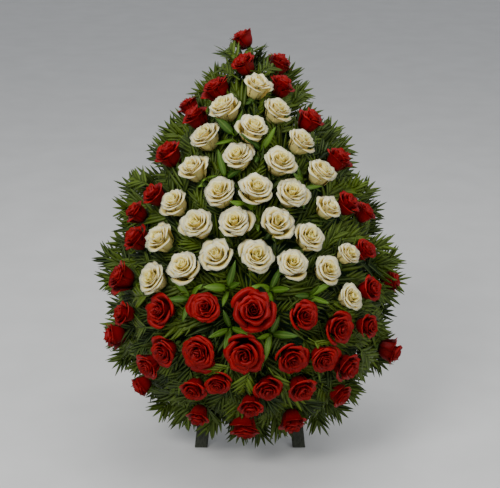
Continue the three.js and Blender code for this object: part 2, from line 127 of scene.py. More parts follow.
# Fronds that lie over the heads: from, to and how bright.
LYING_FRONDS: list[tuple[Pair, Pair, float]] = [
    ((249, 370), (236, 418), 0.45),
    ((232, 364), (200, 377), 0.4),
    ((358, 348), (393, 386), 0.0),
    ((150, 296), (104, 298), 0.2),
    ((150, 327), (106, 330), -0.1),
    ((312, 340), (334, 352), 0.3),
    ((272, 372), (290, 398), 0.15),
    ((150, 186), (122, 172), 0.1),
    ((240, 62), (222, 40), 0.2),
    ((247, 60), (266, 40), 0.15),
    ((236, 78), (204, 58), 0.1),
    ((258, 74), (290, 58), -0.05),
]


@dataclass(frozen=True)
class Teardrop:
    """A teardrop outline in the plane of the wreath's face, with its tip at the top.

    Attributes:
        half_width: half of the greatest width.
        top: height of the tip.
        bottom: height of the lowest point.
    """

    half_width: float
    top: float
    bottom: float

    @property
    def pole(self) -> float:
        """Height of the widest place, a third of the way down from the middle to the bottom."""
        return (self.top + self.bottom) / 2 - (self.top - self.bottom) / 6

    def point(self, t: float) -> Pair:
        """Give a point of the outline.

        Args:
            t: 0 at the tip, pi at the bottom, and on up the other side.

        Returns:
            The point across and up.
        """
        # The last three numbers bring the greatest width to one.
        width = math.sin(t) * abs(math.sin(t / 2)) * 3 * math.sqrt(3) / 4
        height = (self.top + self.bottom) / 2 + (self.top - self.bottom) / 2 * math.cos(t)
        return self.half_width * width, height

    def outness(self, x: float, z: float) -> float:
        """Tell how far out a point lies.

        Args:
            x: place across.
            z: place up.

        Returns:
            0 at the pole and 1 on the outline.
        """
        wanted = math.atan2(abs(x), z - self.pole)
        low, high = 0.0, math.pi
        halvings = 40
        for _ in range(halvings):
            middle = (low + high) / 2
            px, pz = self.point(middle)
            if math.atan2(px, pz - self.pole) < wanted:
                low = middle
            else:
                high = middle
        rx, rz = self.point(low)
        return math.hypot(x, z - self.pole) / math.hypot(rx, rz - self.pole)


@dataclass
class Head:
    """One rose head on the dome.

    Attributes:
        middle: its middle in the wreath's frame.
        axis: the way it faces.
        radius: half its width.
        turn: its turn about its axis, in radians.
        root: where its posy's stems cross.
    """

    middle: Vector
    axis: Vector
    radius: float
    turn: float = 0.0
    root: Vector = field(default_factory=Vector)


def at(x: float, depth: float, z: float) -> Vector:
    """Give a point of the wreath's frame, with depth counted out of the board's front."""
    return Vector((x, -depth, z))


def square_to(axis: Vector, turn: float = 0.0) -> tuple[Vector, Vector]:
    """Give two directions square to an axis.

    Args:
        axis: a unit vector.
        turn: turn of both about the axis, in radians.

    Returns:
        The two directions, which make a right-handed set with the axis.
    """
    side = Vector((0, 0, 1)).cross(axis)
    side = side.normalized() if side.length > TINY else Vector((1, 0, 0))
    side = Matrix.Rotation(turn, 3, axis) @ side
    return side, axis.cross(side)


@dataclass
class Dome:
    """The dome that the heads' middles lie on, over the foam.

    Attributes:
        rim: outline of the heads' dome.
        foam: outline of the foam.
        rim_depth: depth of the rim.
        rise: height of the dome over its rim.
        steepest: how far out the dome's slope still counts.
        splay: how much further out than the dome's normal a head leans at the rim.
        head_scale: size of a head against its width in the plan.
        head_clearance: greatest radius of a head against the way to its nearest neighbour.
        root_depth: how far below its heads a posy's stems cross.
        rounds: rounds in which a place of the plan is brought onto the dome.
        lift: how far the upper heads' faces are lifted.
        lift_start: height over the pole at which the lift starts.
        lift_run: height in which it grows to the full.
        sway: how far a face strays to either side.
        nod: how far a face strays up or down.
        seed: seed of the draws.
    """

    rim: Teardrop = Teardrop(half_width=258, top=381, bottom=-344)
    foam: Teardrop = Teardrop(half_width=213, top=311, bottom=-299)
    rim_depth: float = 45
    rise: float = 185
    steepest: float = 0.985
    splay: float = 0.25
    head_scale: float = 1.1
    head_clearance: float = 0.48
    root_depth: float = 95
    rounds: int = 12
    lift: float = 0.3
    lift_start: float = -110
    lift_run: float = 170
    sway: float = 0.1
    nod: float = 0.08
    seed: int = 7

    def depth(self, x: float, z: float) -> float:
        """Give the depth of the heads' dome at a place of the face."""
        out = min(self.rim.outness(x, z), 1)
        return self.rim_depth + self.rise * math.sqrt(1 - out * out)

    def normal(self, x: float, z: float) -> Vector:
        """Give the way that a head at a place of the face looks.

        Args:
            x: place across.
            z: place up.

        Returns:
            A unit vector, leaning further out than the dome's own towards the rim.
        """
        step = 0.5
        pole = self.rim.pole
        inside = min(1, self.steepest / max(self.rim.outness(x, z), TINY))
        u, w = x * inside, pole + (z - pole) * inside
        slope_x = (self.depth(u + step, w) - self.depth(u - step, w)) / (2 * step)
        slope_z = (self.depth(u, w + step) - self.depth(u, w - step)) / (2 * step)
        outwards = at(x, 0, z - pole).normalized() * self.splay * self.rim.outness(x, z)
        return (at(-slope_x, 1, -slope_z).normalized() + outwards).normalized()

    def planted(self, across: float, down: float, width: float = 0.0) -> Head:
        """Bring a place of the planting plan onto the dome along the line of sight.

        Args:
            across: plan units from the left.
            down: plan units from the top.
            width: width of the head in plan units.

        Returns:
            The head there.
        """
        depth = self.rim_depth + self.rise
        x = z = unit = 0.0
        for _ in range(self.rounds):
            unit = PLAN_UNIT * (1 - (depth - self.rim_depth) / VIEW_DISTANCE)
            x = (across - PLAN_AXIS[0]) * unit
            z = (PLAN_AXIS[1] - down) * unit
            depth = (depth + self.depth(x, z)) / 2
        return Head(at(x, depth, z), self.normal(x, z), self.head_scale * width * unit / 2)

    def posy(self, plan: list[Place]) -> list[Head]:
        """Plant the heads of one posy and find where their stems cross.

        Args:
            plan: the place of each head in the planting plan.

        Returns:
            The heads.
        """
        heads = [self.planted(*place) for place in plan]
        middle = sum((head.middle for head in heads), Vector()) / len(heads)
        axis = sum((head.axis for head in heads), Vector()).normalized()
        for head in heads:
            head.root = middle - axis * self.root_depth
        return heads

    def space_out(self, heads: list[Head]) -> None:
        """Keep neighbouring heads apart, turn each its own way and lift its face a little.

        Args:
            heads: all the heads, which are changed in place.
        """
        draw = random.Random(self.seed)
        for head in heads:
            nearest = min((h.middle - head.middle).length for h in heads if h is not head)
            head.radius = min(head.radius, self.head_clearance * nearest)
            head.turn = draw.uniform(0, FULL_TURN)
            share = min(1, max(0, (head.middle.z - self.rim.pole - self.lift_start) / self.lift_run))
            aside = draw.uniform(-self.sway, self.sway)
            up = draw.uniform(-self.nod, self.nod) + self.lift * share
            head.axis = (head.axis + Vector((aside, 0, up))).normalized()


@dataclass
class WreathFrame:
    """Where the leaning wreath stands in the part's frame, read from the easel's ledge.

    Attributes:
        lean: how far the wreath leans back, in radians.
        ledge_bottom: height of the ledge's lower edge in the wreath's frame.
        ledge_top: height of its upper edge.
    """

    lean: float = math.radians(20)
    ledge_bottom: float = -329.3
    ledge_top: float = -309.3

    def matrix(self) -> Matrix:
        """Find where the wreath stands.

        Returns:
            The matrix from millimetres of the wreath's frame to metres of the part's.
        """
        low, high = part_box("easel_ledge")
        shift_x = (low.x + high.x) / 2
        shift_y = low.y - self.ledge_bottom * MM * math.sin(self.lean)
        shift_z = high.z - self.ledge_top * MM * math.cos(self.lean)
        turn = Matrix.Rotation(-self.lean, 4, "X")
        return Matrix.Translation((shift_x, shift_y, shift_z)) @ turn @ Matrix.Scale(MM, 4)


# Making meshes


def fresh() -> None:
    """Leave edit mode with nothing selected."""
    if bpy.context.object and bpy.context.object.mode != "OBJECT":
        bpy.ops.object.mode_set(mode="OBJECT")
    bpy.ops.object.select_all(action="DESELECT")


def take(piece: bpy.types.Object) -> None:
    """Select one piece alone and make it the active one."""
    fresh()
    piece.select_set(True)
    bpy.context.view_layer.objects.active = piece


def select_mesh() -> None:
    """Enter edit mode on the active piece with all of its mesh selected."""
    bpy.ops.object.mode_set(mode="EDIT")
    bpy.ops.mesh.select_all(action="SELECT")


def discard(pieces: list[bpy.types.Object]) -> None:
    """Remove templates that have been copied."""
    for piece in pieces:
        bpy.data.objects.remove(piece)


def points_of(mesh: bpy.types.Mesh) -> np.ndarray:
    """Read a mesh's points.

    Args:
        mesh: the mesh.

    Returns:
        A row for each point.
    """
    found = np.empty(len(mesh.vertices) * 3, np.float32)
    mesh.vertices.foreach_get("co", found)
    return found.reshape(-1, 3).astype(float)


def set_points(mesh: bpy.types.Mesh, points: np.ndarray) -> None:
    """Write a mesh's points from rows."""
    mesh.vertices.foreach_set("co", points.astype(np.float32).ravel())
    mesh.update()


def values_of(mesh: bpy.types.Mesh, name: str) -> np.ndarray:
    """Read an attribute of a mesh.

    Args:
        mesh: the mesh.
        name: name of the attribute.

    Returns:
        A number for each point.
    """
    found = np.empty(len(mesh.vertices), np.float32)
    mesh.attributes[name].data.foreach_get("value", found)
    return found


def set_values(mesh: bpy.types.Mesh, name: str, values: np.ndarray | float) -> None:
    """Write an attribute of a mesh.

    Args:
        mesh: the mesh.
        name: name of the attribute.
        values: a number for each point, or one for all.
    """
    layer = mesh.attributes.get(name) or mesh.attributes.new(name, "FLOAT", "POINT")
    layer.data.foreach_set("value", np.broadcast_to(values, len(mesh.vertices)).astype(np.float32))


def joined(name: str, pieces: list[bpy.types.Object]) -> bpy.types.Object:
    """Join pieces into one object.

    Args:
        name: name of the joined object.
        pieces: mesh objects, which are used up.

    Returns:
        The joined object.
    """
    fresh()
    for piece in pieces:
        piece.select_set(True)
    bpy.context.view_layer.objects.active = pieces[0]
    if len(pieces) > 1:
        bpy.ops.object.join()
    whole = bpy.context.view_layer.objects.active
    whole.name = name
    whole.data.name = name
    return whole


def smoothed(piece: bpy.types.Object) -> bpy.types.Object:
    """Shade a piece smooth.

    Args:
        piece: the piece.

    Returns:
        The same piece.
    """
    take(piece)
    bpy.ops.object.shade_smooth()
    return piece


def skin_of(solid: bpy.types.Object, name: str) -> bpy.types.Object:
    """Copy a solid and merge its loose triangles into one skin.

    Args:
        solid: a solid of the frame.
        name: name of the copy.

    Returns:
        The copy, which is the active piece.
    """
    skin = bpy.data.objects.new(name, solid.data.copy())
    bpy.context.scene.collection.objects.link(skin)
    take(skin)
    select_mesh()
    bpy.ops.mesh.remove_doubles(threshold=MERGE_DISTANCE)
    bpy.ops.object.mode_set(mode="OBJECT")
    return skin


@dataclass
class Blank:
    """A flat closed sheet with a thin edge, from which petals and leaves are bent.

    Attributes:
        across: faces across the sheet.
        along: faces along it.
        pattern: the modelled sheet, once it is cut.
    """

    across: int
    along: int
    pattern: bpy.types.Mesh | None = None

    def cut(self) -> None:
        """Model the sheet: a grid thickened everywhere but at its edge, where both skins meet."""
        fresh()
        bpy.ops.mesh.primitive_grid_add(x_subdivisions=self.across, y_subdivisions=self.along, size=2)
        sheet = bpy.context.object
        off_edge = np.abs(points_of(sheet.data)[:, :2]).max(axis=1) < 1 - TINY
        inner = sheet.vertex_groups.new(name="inner")
        inner.add(np.nonzero(off_edge)[0].tolist(), 1.0, "REPLACE")
        body = sheet.modifiers.new("Body", "SOLIDIFY")
        body.thickness = 2.0
        body.offset = 0.0
        body.use_rim = False
        body.vertex_group = "inner"
        bpy.ops.object.modifier_apply(modifier="Body")
        select_mesh()
        bpy.ops.mesh.remove_doubles(threshold=MERGE_DISTANCE)
        bpy.ops.mesh.normals_make_consistent(inside=False)
        bpy.ops.object.mode_set(mode="OBJECT")
        sheet.vertex_groups.clear()
        self.pattern = sheet.data
        bpy.data.objects.remove(sheet)

    def bent(self, shape: Shape, thickness: float) -> bpy.types.Object:
        """Copy the sheet and bend it.

        Args:
            shape: gives the points of the bent sheet from places across, -1 to 1, and along, 0 to 1.
            thickness: thickness away from the edge.

        Returns:
            The bent copy, with its places in the attributes across and along, and its outer skin in back.
        """
        if self.pattern is None:
            self.cut()
        flat = points_of(self.pattern)
        u, v = flat[:, 0], (flat[:, 1] + 1) / 2
        step = 1e-3
        not_zero = 1e-12
        du = shape(u + step, v) - shape(u - step, v)
        dv = shape(u, v + step) - shape(u, v - step)
        normal = np.cross(du, dv)
        normal /= np.linalg.norm(normal, axis=1, keepdims=True) + not_zero
        mesh = self.pattern.copy()
        set_points(mesh, shape(u, v) + normal * (np.sign(flat[:, 2]) * thickness / 2)[:, None])
        set_values(mesh, "across", np.abs(u))
        set_values(mesh, "along", v)
        set_values(mesh, "back", (flat[:, 2] > TINY).astype(float))
        bent = bpy.data.objects.new("sheet", mesh)
        bpy.context.scene.collection.objects.link(bent)
        return bent


PETAL_BLANK = Blank(8, 5)
LEAFLET_BLANK = Blank(2, 6)
LEAF_BLANK = Blank(4, 6)


def tube(name: str, path: list[Vector], radii: list[float], sides: int = 6) -> bpy.types.Object:
    """Model a tapering stalk along a path by extruding a small disc.

    Args:
        name: name of the stalk.
        path: points along its middle.
        radii: its radius at each point.
        sides: sides of its section.

    Returns:
        The closed stalk.
    """
    fresh()
    bpy.ops.mesh.primitive_circle_add(vertices=sides, radius=1, fill_type="NGON")
    stalk = bpy.context.object
    stalk.name = name
    bpy.ops.object.mode_set(mode="EDIT")
    for _ in path[1:]:
        bpy.ops.mesh.extrude_region_move(TRANSFORM_OT_translate={"value": (0, 0, 1)})
    bpy.ops.object.mode_set(mode="OBJECT")
    points = points_of(stalk.data)
    ring = np.rint(points[:, 2]).astype(int)
    placed = np.empty_like(points)
    side = None
    for k, middle in enumerate(path):
        ahead = path[min(k + 1, len(path) - 1)] - path[max(k - 1, 0)]
        axis = ahead.normalized()
        side = (side - axis * side.dot(axis)).normalized() if side else square_to(axis)[0]
        over = axis.cross(side)
        mine = ring == k
        spread = np.outer(points[mine, 0], side) + np.outer(points[mine, 1], over)
        placed[mine] = np.array(middle) + radii[k] * spread
    set_points(stalk.data, placed)
    select_mesh()
    bpy.ops.mesh.normals_make_consistent(inside=False)
    bpy.ops.object.mode_set(mode="OBJECT")
    set_values(stalk.data, "back", STALK_MARK)
    set_values(stalk.data, "across", 0.5)
    set_values(stalk.data, "tint", MIDDLE_TINT)
    return stalk


# Finishes


@dataclass(frozen=True)
class PetalFinish:
    """The skin of rose petals, from the claw at the foot to the rim.

    Attributes:
        name: name of the material.
        claw: colour of the foot.
        blade: colour of the middle.
        rim: colour of the rim, partly the petal's own paler rim and partly a painted highlight along its
            edge.
        heart: colour that the inner whorls tend to.
        outside: colour that the petals' backs tend to.
        rim_and_highlight_start: where along a petal the rim's colour, a paler rim with a painted highlight,
            starts to come in.
        roughness: roughness of the skin.
        glow: share of light that passes under the skin.
        claw_end: where along a petal the claw's colour starts to give way.
        blade_start: where along a petal the blade's colour is full.
        heart_fade: factor and offset from a whorl's place to the heart's share.
        back_share: share of the outside's colour on a back.
        petal_shades: brightness of the darkest and of the brightest petal.
        streak_shades: brightness of the darkest and of the brightest streak.
        streak_scale: fineness of the streaks.
        streak_stretch: how the streaks are drawn out.
        relief: strength of the streaks' relief.
    """

    name: str
    claw: Colour
    blade: Colour
    rim: Colour
    heart: Colour
    outside: Colour
    rim_and_highlight_start: float
    roughness: float
    glow: float
    claw_end: float = 0.05
    blade_start: float = 0.5
    heart_fade: Pair = (-1.6, 0.9)
    back_share: float = 0.45
    petal_shades: Pair = (0.84, 1.12)
    streak_shades: Pair = (0.9, 1.08)
    streak_scale: float = 900
    streak_stretch: Place = (1, 1, 0.25)
    relief: float = 0.12

    def material(self) -> bpy.types.Material:
        """Wire the finish.

        Returns:
            The material.
        """
        made = Nodes(self.name)
        # The ramp ends in the rim's colour: a paler rim with a painted highlight along the petal's edge.
        blade = made.ramp(made.value("along"), [
            (self.claw_end, self.claw),
            (self.blade_start, self.blade),
            (self.rim_and_highlight_start, self.blade),
            (1.0, self.rim),
        ])
        hearted = made.mix(made.scaled(made.value("whorl"), *self.heart_fade), blade, self.heart)
        backed = made.mix(made.scaled(made.value("back"), self.back_share, 0.0), hearted, self.outside)
        streaks = made.noise(self.streak_scale, 3, self.streak_stretch)
        tinted = made.shade(backed, made.value("tint"), self.petal_shades)
        veined = made.shade(tinted, streaks, self.streak_shades)
        made.finish(veined, self.roughness, streaks, self.relief, self.glow)
        return made.done


@dataclass(frozen=True)
class LeafFinish:
    """The skin of green leaves and fronds, with a paler midrib.

    Attributes:
        name: name of the material.
        dark: colour of the darkest leaf.
        bright: colour of the brightest leaf.
        rib: colour of the midrib.
        roughness: roughness of the skin.
        rib_width: width of the midrib against half of the leaf's.
        rib_share: share of the midrib's colour at its middle.
        mottle_scale: fineness of the mottling.
        mottle_shades: brightness of its darkest and brightest spots.
        vein_scale: fineness of the veins.
        vein_stretch: how the veins are drawn out.
        relief: strength of the veins' relief.
    """

    name: str
    dark: Colour
    bright: Colour
    rib: Colour
    roughness: float
    rib_width: float = 0.3
    rib_share: float = 0.45
    mottle_scale: float = 160
    mottle_shades: Pair = (0.78, 1.2)
    vein_scale: float = 1500
    vein_stretch: Place = (1, 1, 0.2)
    relief: float = 0.15

    def material(self) -> bpy.types.Material:
        """Wire the finish.

        Returns:
            The material.
        """
        made = Nodes(self.name)
        blade = made.mix(made.value("tint"), self.dark, self.bright)
        rib = made.ramp(made.value("across"), [(0.0, (1, 1, 1)), (self.rib_width, (0, 0, 0))])
        ribbed = made.mix(made.scaled(rib, self.rib_share, 0.0), blade, self.rib)
        mottle = made.noise(self.mottle_scale, 4, (1, 1, 1))
        veins = made.noise(self.vein_scale, 2, self.vein_stretch)
        mottled = made.shade(ribbed, mottle, self.mottle_shades)
        made.finish(mottled, self.roughness, veins, self.relief)
        return made.done


@dataclass(frozen=True)
class GrainFinish:
    """Stained wood with its grain along the slats, foam with its cells, or a plain floor.

    Attributes:
        name: name of the material.
        dark: colour between the grain.
        light: colour of the grain.
        scale: fineness of the grain.
        stretch: how the grain is drawn out.
        roughness: roughness of the surface.
        relief: strength of the grain's relief.
        detail: layers of finer grain.
        dark_end: grain up to this is dark.
        light_start: grain from this on is light.
    """

    name: str
    dark: Colour
    light: Colour
    scale: float
    stretch: Place
    roughness: float
    relief: float
    detail: float = 6
    dark_end: float = 0.3
    light_start: float = 0.7

    def material(self) -> bpy.types.Material:
        """Wire the finish.

        Returns:
            The material.
        """
        made = Nodes(self.name)
        grain = made.noise(self.scale, self.detail, self.stretch)
        colour = made.ramp(grain, [(self.dark_end, self.dark), (self.light_start, self.light)])
        made.finish(colour, self.roughness, grain, self.relief)
        return made.done


class Nodes:
    """A small helper that wires one material."""

    MIX_COLOURS = (6, 7)
    MIX_RESULT = 2
    SPECULAR = 0.2
    GLOW_REACH = 0.004
    RELIEF_DEPTH = 0.0006

    def __init__(self, name: str) -> None:
        """Start an empty material.

        Args:
            name: name of the material.
        """
        self.done = bpy.data.materials.new(name)
        self.done.use_nodes = True
        self.tree = self.done.node_tree
        self.tree.nodes.clear()

    def link(self, source: Socket, target: Socket) -> None:
        """Wire one socket to another."""
        self.tree.links.new(source, target)

    def value(self, name: str) -> Socket:
        """Read one of the mesh's own numbers.

        Args:
            name: name of the attribute.

        Returns:
            The number.
        """
        node = self.tree.nodes.new("ShaderNodeAttribute")
        node.attribute_name = name
        return node.outputs["Fac"]

    def scaled(self, source: Socket, factor: float, offset: float) -> Socket:
        """Multiply a number, add to it and keep it from 0 to 1.

        Args:
            source: the number.
            factor: what it is multiplied by.
            offset: what is then added.

        Returns:
            The new number.
        """
        node = self.tree.nodes.new("ShaderNodeMath")
        node.operation = "MULTIPLY_ADD"
        node.use_clamp = True
        self.link(source, node.inputs[0])
        node.inputs[1].default_value = factor
        node.inputs[2].default_value = offset
        return node.outputs[0]

    def ramp(self, source: Socket, stops: list[tuple[float, Colour]]) -> Socket:
        """Turn a number into a colour through a ramp.

        Args:
            source: the number.
            stops: colours and the numbers that they stand at.

        Returns:
            The colour.
        """
        node = self.tree.nodes.new("ShaderNodeValToRGB")
        elements = node.color_ramp.elements
        while len(elements) < len(stops):
            elements.new(0.5)
        for element, (place, colour) in zip(elements, stops):
            element.position = place
            element.color = (*colour, 1)
        self.link(source, node.inputs["Fac"])
        return node.outputs["Color"]

    def mix(self, share: Socket, first: Socket | Colour, second: Socket | Colour) -> Socket:
        """Mix two colours.

        Args:
            share: share of the second colour.
            first: the first colour.
            second: the second colour.

        Returns:
            The mixed colour.
        """
        node = self.tree.nodes.new("ShaderNodeMix")
        node.data_type = "RGBA"
        self.link(share, node.inputs["Factor"])
        for index, colour in zip(self.MIX_COLOURS, (first, second)):
            if isinstance(colour, tuple):
                node.inputs[index].default_value = (*colour, 1)
            else:
                self.link(colour, node.inputs[index])
        return node.outputs[self.MIX_RESULT]

    def shade(self, colour: Socket, share: Socket, shades: Pair) -> Socket:
        """Lighten and darken a colour by a number.

        Args:
            colour: the colour.
            share: the number, from 0 to 1.
            shades: brightness at 0 and at 1.

        Returns:
            The shaded colour.
        """
        spread = self.tree.nodes.new("ShaderNodeMapRange")
        self.link(share, spread.inputs["Value"])
        spread.inputs["To Min"].default_value, spread.inputs["To Max"].default_value = shades
        node = self.tree.nodes.new("ShaderNodeVectorMath")
        node.operation = "SCALE"
        self.link(colour, node.inputs[0])
        self.link(spread.outputs["Result"], node.inputs["Scale"])
        return node.outputs["Vector"]

    def noise(self, scale: float, detail: float, stretch: Place) -> Socket:
        """Make a cloudy pattern in the object's own space.

        Args:
            scale: fineness of the pattern.
            detail: layers of finer pattern.
            stretch: how it is drawn out along each axis.

        Returns:
            The pattern, from 0 to 1.
        """
        where = self.tree.nodes.new("ShaderNodeTexCoord")
        mapping = self.tree.nodes.new("ShaderNodeMapping")
        mapping.inputs["Scale"].default_value = stretch
        node = self.tree.nodes.new("ShaderNodeTexNoise")
        node.inputs["Scale"].default_value = scale
        node.inputs["Detail"].default_value = detail
        self.link(where.outputs["Object"], mapping.inputs["Vector"])
        self.link(mapping.outputs["Vector"], node.inputs["Vector"])
        return node.outputs["Fac"]

    def finish(self, colour: Socket, roughness: float, bump: Socket, relief: float,
               glow: float = 0.0) -> None:
        """Close the material with its shader.

        Args:
            colour: the surface's colour.
            roughness: its roughness.
            bump: pattern that raises the surface.
            relief: strength of that relief.
            glow: share of light that passes under the skin.
        """
        shader = self.tree.nodes.new("ShaderNodeBsdfPrincipled")
        self.link(colour, shader.inputs["Base Color"])
        shader.inputs["Roughness"].default_value = roughness
        shader.inputs["Specular IOR Level"].default_value = self.SPECULAR
        shader.inputs["Subsurface Weight"].default_value = glow
        shader.inputs["Subsurface Scale"].default_value = self.GLOW_REACH
        raised = self.tree.nodes.new("ShaderNodeBump")
        raised.inputs["Strength"].default_value = relief
        raised.inputs["Distance"].default_value = self.RELIEF_DEPTH
        self.link(bump, raised.inputs["Height"])
        self.link(raised.outputs["Normal"], shader.inputs["Normal"])
        out = self.tree.nodes.new("ShaderNodeOutputMaterial")
        self.link(shader.outputs["BSDF"], out.inputs["Surface"])


# Each rim colour is partly the petals' own paler rim and partly a painted highlight on their edges.
WHITE_PETALS = PetalFinish(
    "white_petals", claw=(0.36, 0.36, 0.05), blade=(0.79, 0.63, 0.19), rim=(0.91, 0.87, 0.62),
    heart=(0.82, 0.69, 0.12), outside=(0.70, 0.63, 0.27), rim_and_highlight_start=0.82, roughness=0.5, glow=0.08,
)
RED_PETALS = PetalFinish(
    "red_petals", claw=(0.012, 0.0, 0.0), blade=(0.22, 0.0006, 0.0012), rim=(0.31, 0.0015, 0.0018),
    heart=(0.25, 0.001, 0.0016), outside=(0.15, 0.0, 0.002), rim_and_highlight_start=0.72, roughness=0.55, glow=0.0,
)
FROND_GREEN = LeafFinish(
    "frond_green", dark=(0.008, 0.021, 0.003), bright=(0.10, 0.155, 0.009), rib=(0.15, 0.21, 0.03),
    roughness=0.5,
)
LEAF_GREEN = LeafFinish(
    "leaf_green", dark=(0.018, 0.06, 0.006), bright=(0.13, 0.25, 0.02), rib=(0.2, 0.3, 0.06),
    roughness=0.36,
)
STEM_GREEN = LeafFinish(
    "stem_green", dark=(0.04, 0.09, 0.012), bright=(0.11, 0.19, 0.03), rib=(0.14, 0.22, 0.05),
    roughness=0.5,
)
FOAM_GREEN = GrainFinish(
    "foam_green", dark=(0.008, 0.026, 0.012), light=(0.02, 0.055, 0.024), scale=420, stretch=(1, 1, 1),
    roughness=0.95, relief=0.5,
)
PAINTED_WOOD = GrainFinish(
    "painted_wood", dark=(0.02, 0.024, 0.016), light=(0.06, 0.065, 0.045), scale=60, stretch=(6, 6, 0.35),
    roughness=0.55, relief=0.35,
)
STUDIO_FLOOR = GrainFinish(
    "studio_floor", dark=(0.62, 0.62, 0.6), light=(0.66, 0.66, 0.64), scale=8, stretch=(1, 1, 1),
    roughness=0.8, relief=0.0, detail=2,
)


# Roses


@dataclass(frozen=True)
class Whorl:
    """One ring of like petals, in head radii and degrees.

    Attributes:
        count: petals in the ring.
        length: a petal's length from foot to rim.
        spread: half of the angle that a petal covers round the axis.
        slopes: the petal's slope from the level at its foot, belly, shoulder and rim.
        side_curl: how much further the rim rolls back at its sides.
        loose: how far a petal's slopes stray from its fellows'.
        foot: radius and height of the petal's foot.
    """

    count: int
    length: float
    spread: float
    slopes: tuple[float, float, float, float]
    side_curl: float
    loose: float = 5
    foot: Pair = (0.1, -0.7)


class Bloom(Enum):
    """How far a rose has opened; each value is its whorls from the heart out."""

    OPEN = (
        Whorl(3, 1.12, 112, (80, 92, 98, 86), 15),
        Whorl(3, 1.18, 98, (66, 88, 93, 64), 40),
        Whorl(4, 1.2, 80, (50, 83, 89, 40), 60),
        Whorl(5, 1.23, 66, (32, 77, 87, 18), 70),
        Whorl(5, 1.27, 58, (15, 70, 84, -4), 70),
        Whorl(5, 1.33, 53, (0, 61, 80, -24), 60, 13),
    )
    HALF_OPEN = (
        Whorl(3, 1.2, 116, (82, 93, 99, 90), 10),
        Whorl(3, 1.26, 100, (70, 90, 95, 74), 35),
        Whorl(4, 1.27, 82, (56, 86, 91, 50), 60),
        Whorl(5, 1.28, 68, (36, 80, 88, 22), 75),
        Whorl(5, 1.34, 58, (8, 66, 82, -14), 70, 13),
    )


# Height and radius of the hip under a head, in head radii.
HIP: list[Pair] = [(-0.94, 0.1), (-0.88, 0.14), (-0.78, 0.2), (-0.68, 0.2), (-0.6, 0.12)]


@dataclass(frozen=True)
class PetalCut:
    """How petals are cut and bent, and how far they stray from one another, in head radii.

    Attributes:
        lengths: least and greatest length against the whorl's.
        waves: least and greatest number of half waves across the rim.
        ruffles: least and greatest depth of those waves.
        curls: least and greatest side curl against the whorl's.
        points: least and greatest length of the rim's point.
        point_narrowness: how narrow that point is.
        shoulder: how much shorter the petal is at its sides.
        stations: where along the petal its four slopes hold.
        curl_start: where along the petal its sides start to curl.
        claw_width: width of the foot against the rim's.
        tuck: how far one side of the petal lies outside the other.
        crowding: power that crowds the rows of faces towards the rim.
        steps: steps in which the slopes are summed up.
        thickness: thickness away from the edge.
    """

    lengths: Pair = (0.95, 1.06)
    waves: Pair = (1.4, 2.8)
    ruffles: Pair = (0.02, 0.05)
    curls: Pair = (0.7, 1.2)
    points: Pair = (0.0, 0.09)
    point_narrowness: float = 16
    shoulder: float = 0.17
    stations: tuple[float, float, float, float] = (0, 0.38, 0.76, 1)
    curl_start: float = 0.6
    claw_width: float = 0.72
    tuck: float = 0.06
    crowding: float = 0.75
    steps: int = 20
    thickness: float = 0.022


@dataclass(frozen=True)
class SepalCut:
    """How sepals are cut and bent, in head radii.

    Attributes:
        count: sepals of a calyx.
        offset: turn of the first one, as a share of the way to the next.
        half_width: half of the width.
        tip: half of the width at the tip.
        foot: distance of the foot from the axis.
        length: how far it reaches out from there.
        height: height of the foot.
        sag: how far it hangs below the foot.
        hollow: how far its edges stand up.
        thickness: thickness away from the edge.
    """

    count: int = 5
    offset: float = 0.3
    half_width: float = 0.16
    tip: float = 0.004
    foot: float = 0.1
    length: float = 0.52
    height: float = -0.78
    sag: float = 0.16
    hollow: float = 0.05
    thickness: float = 0.03


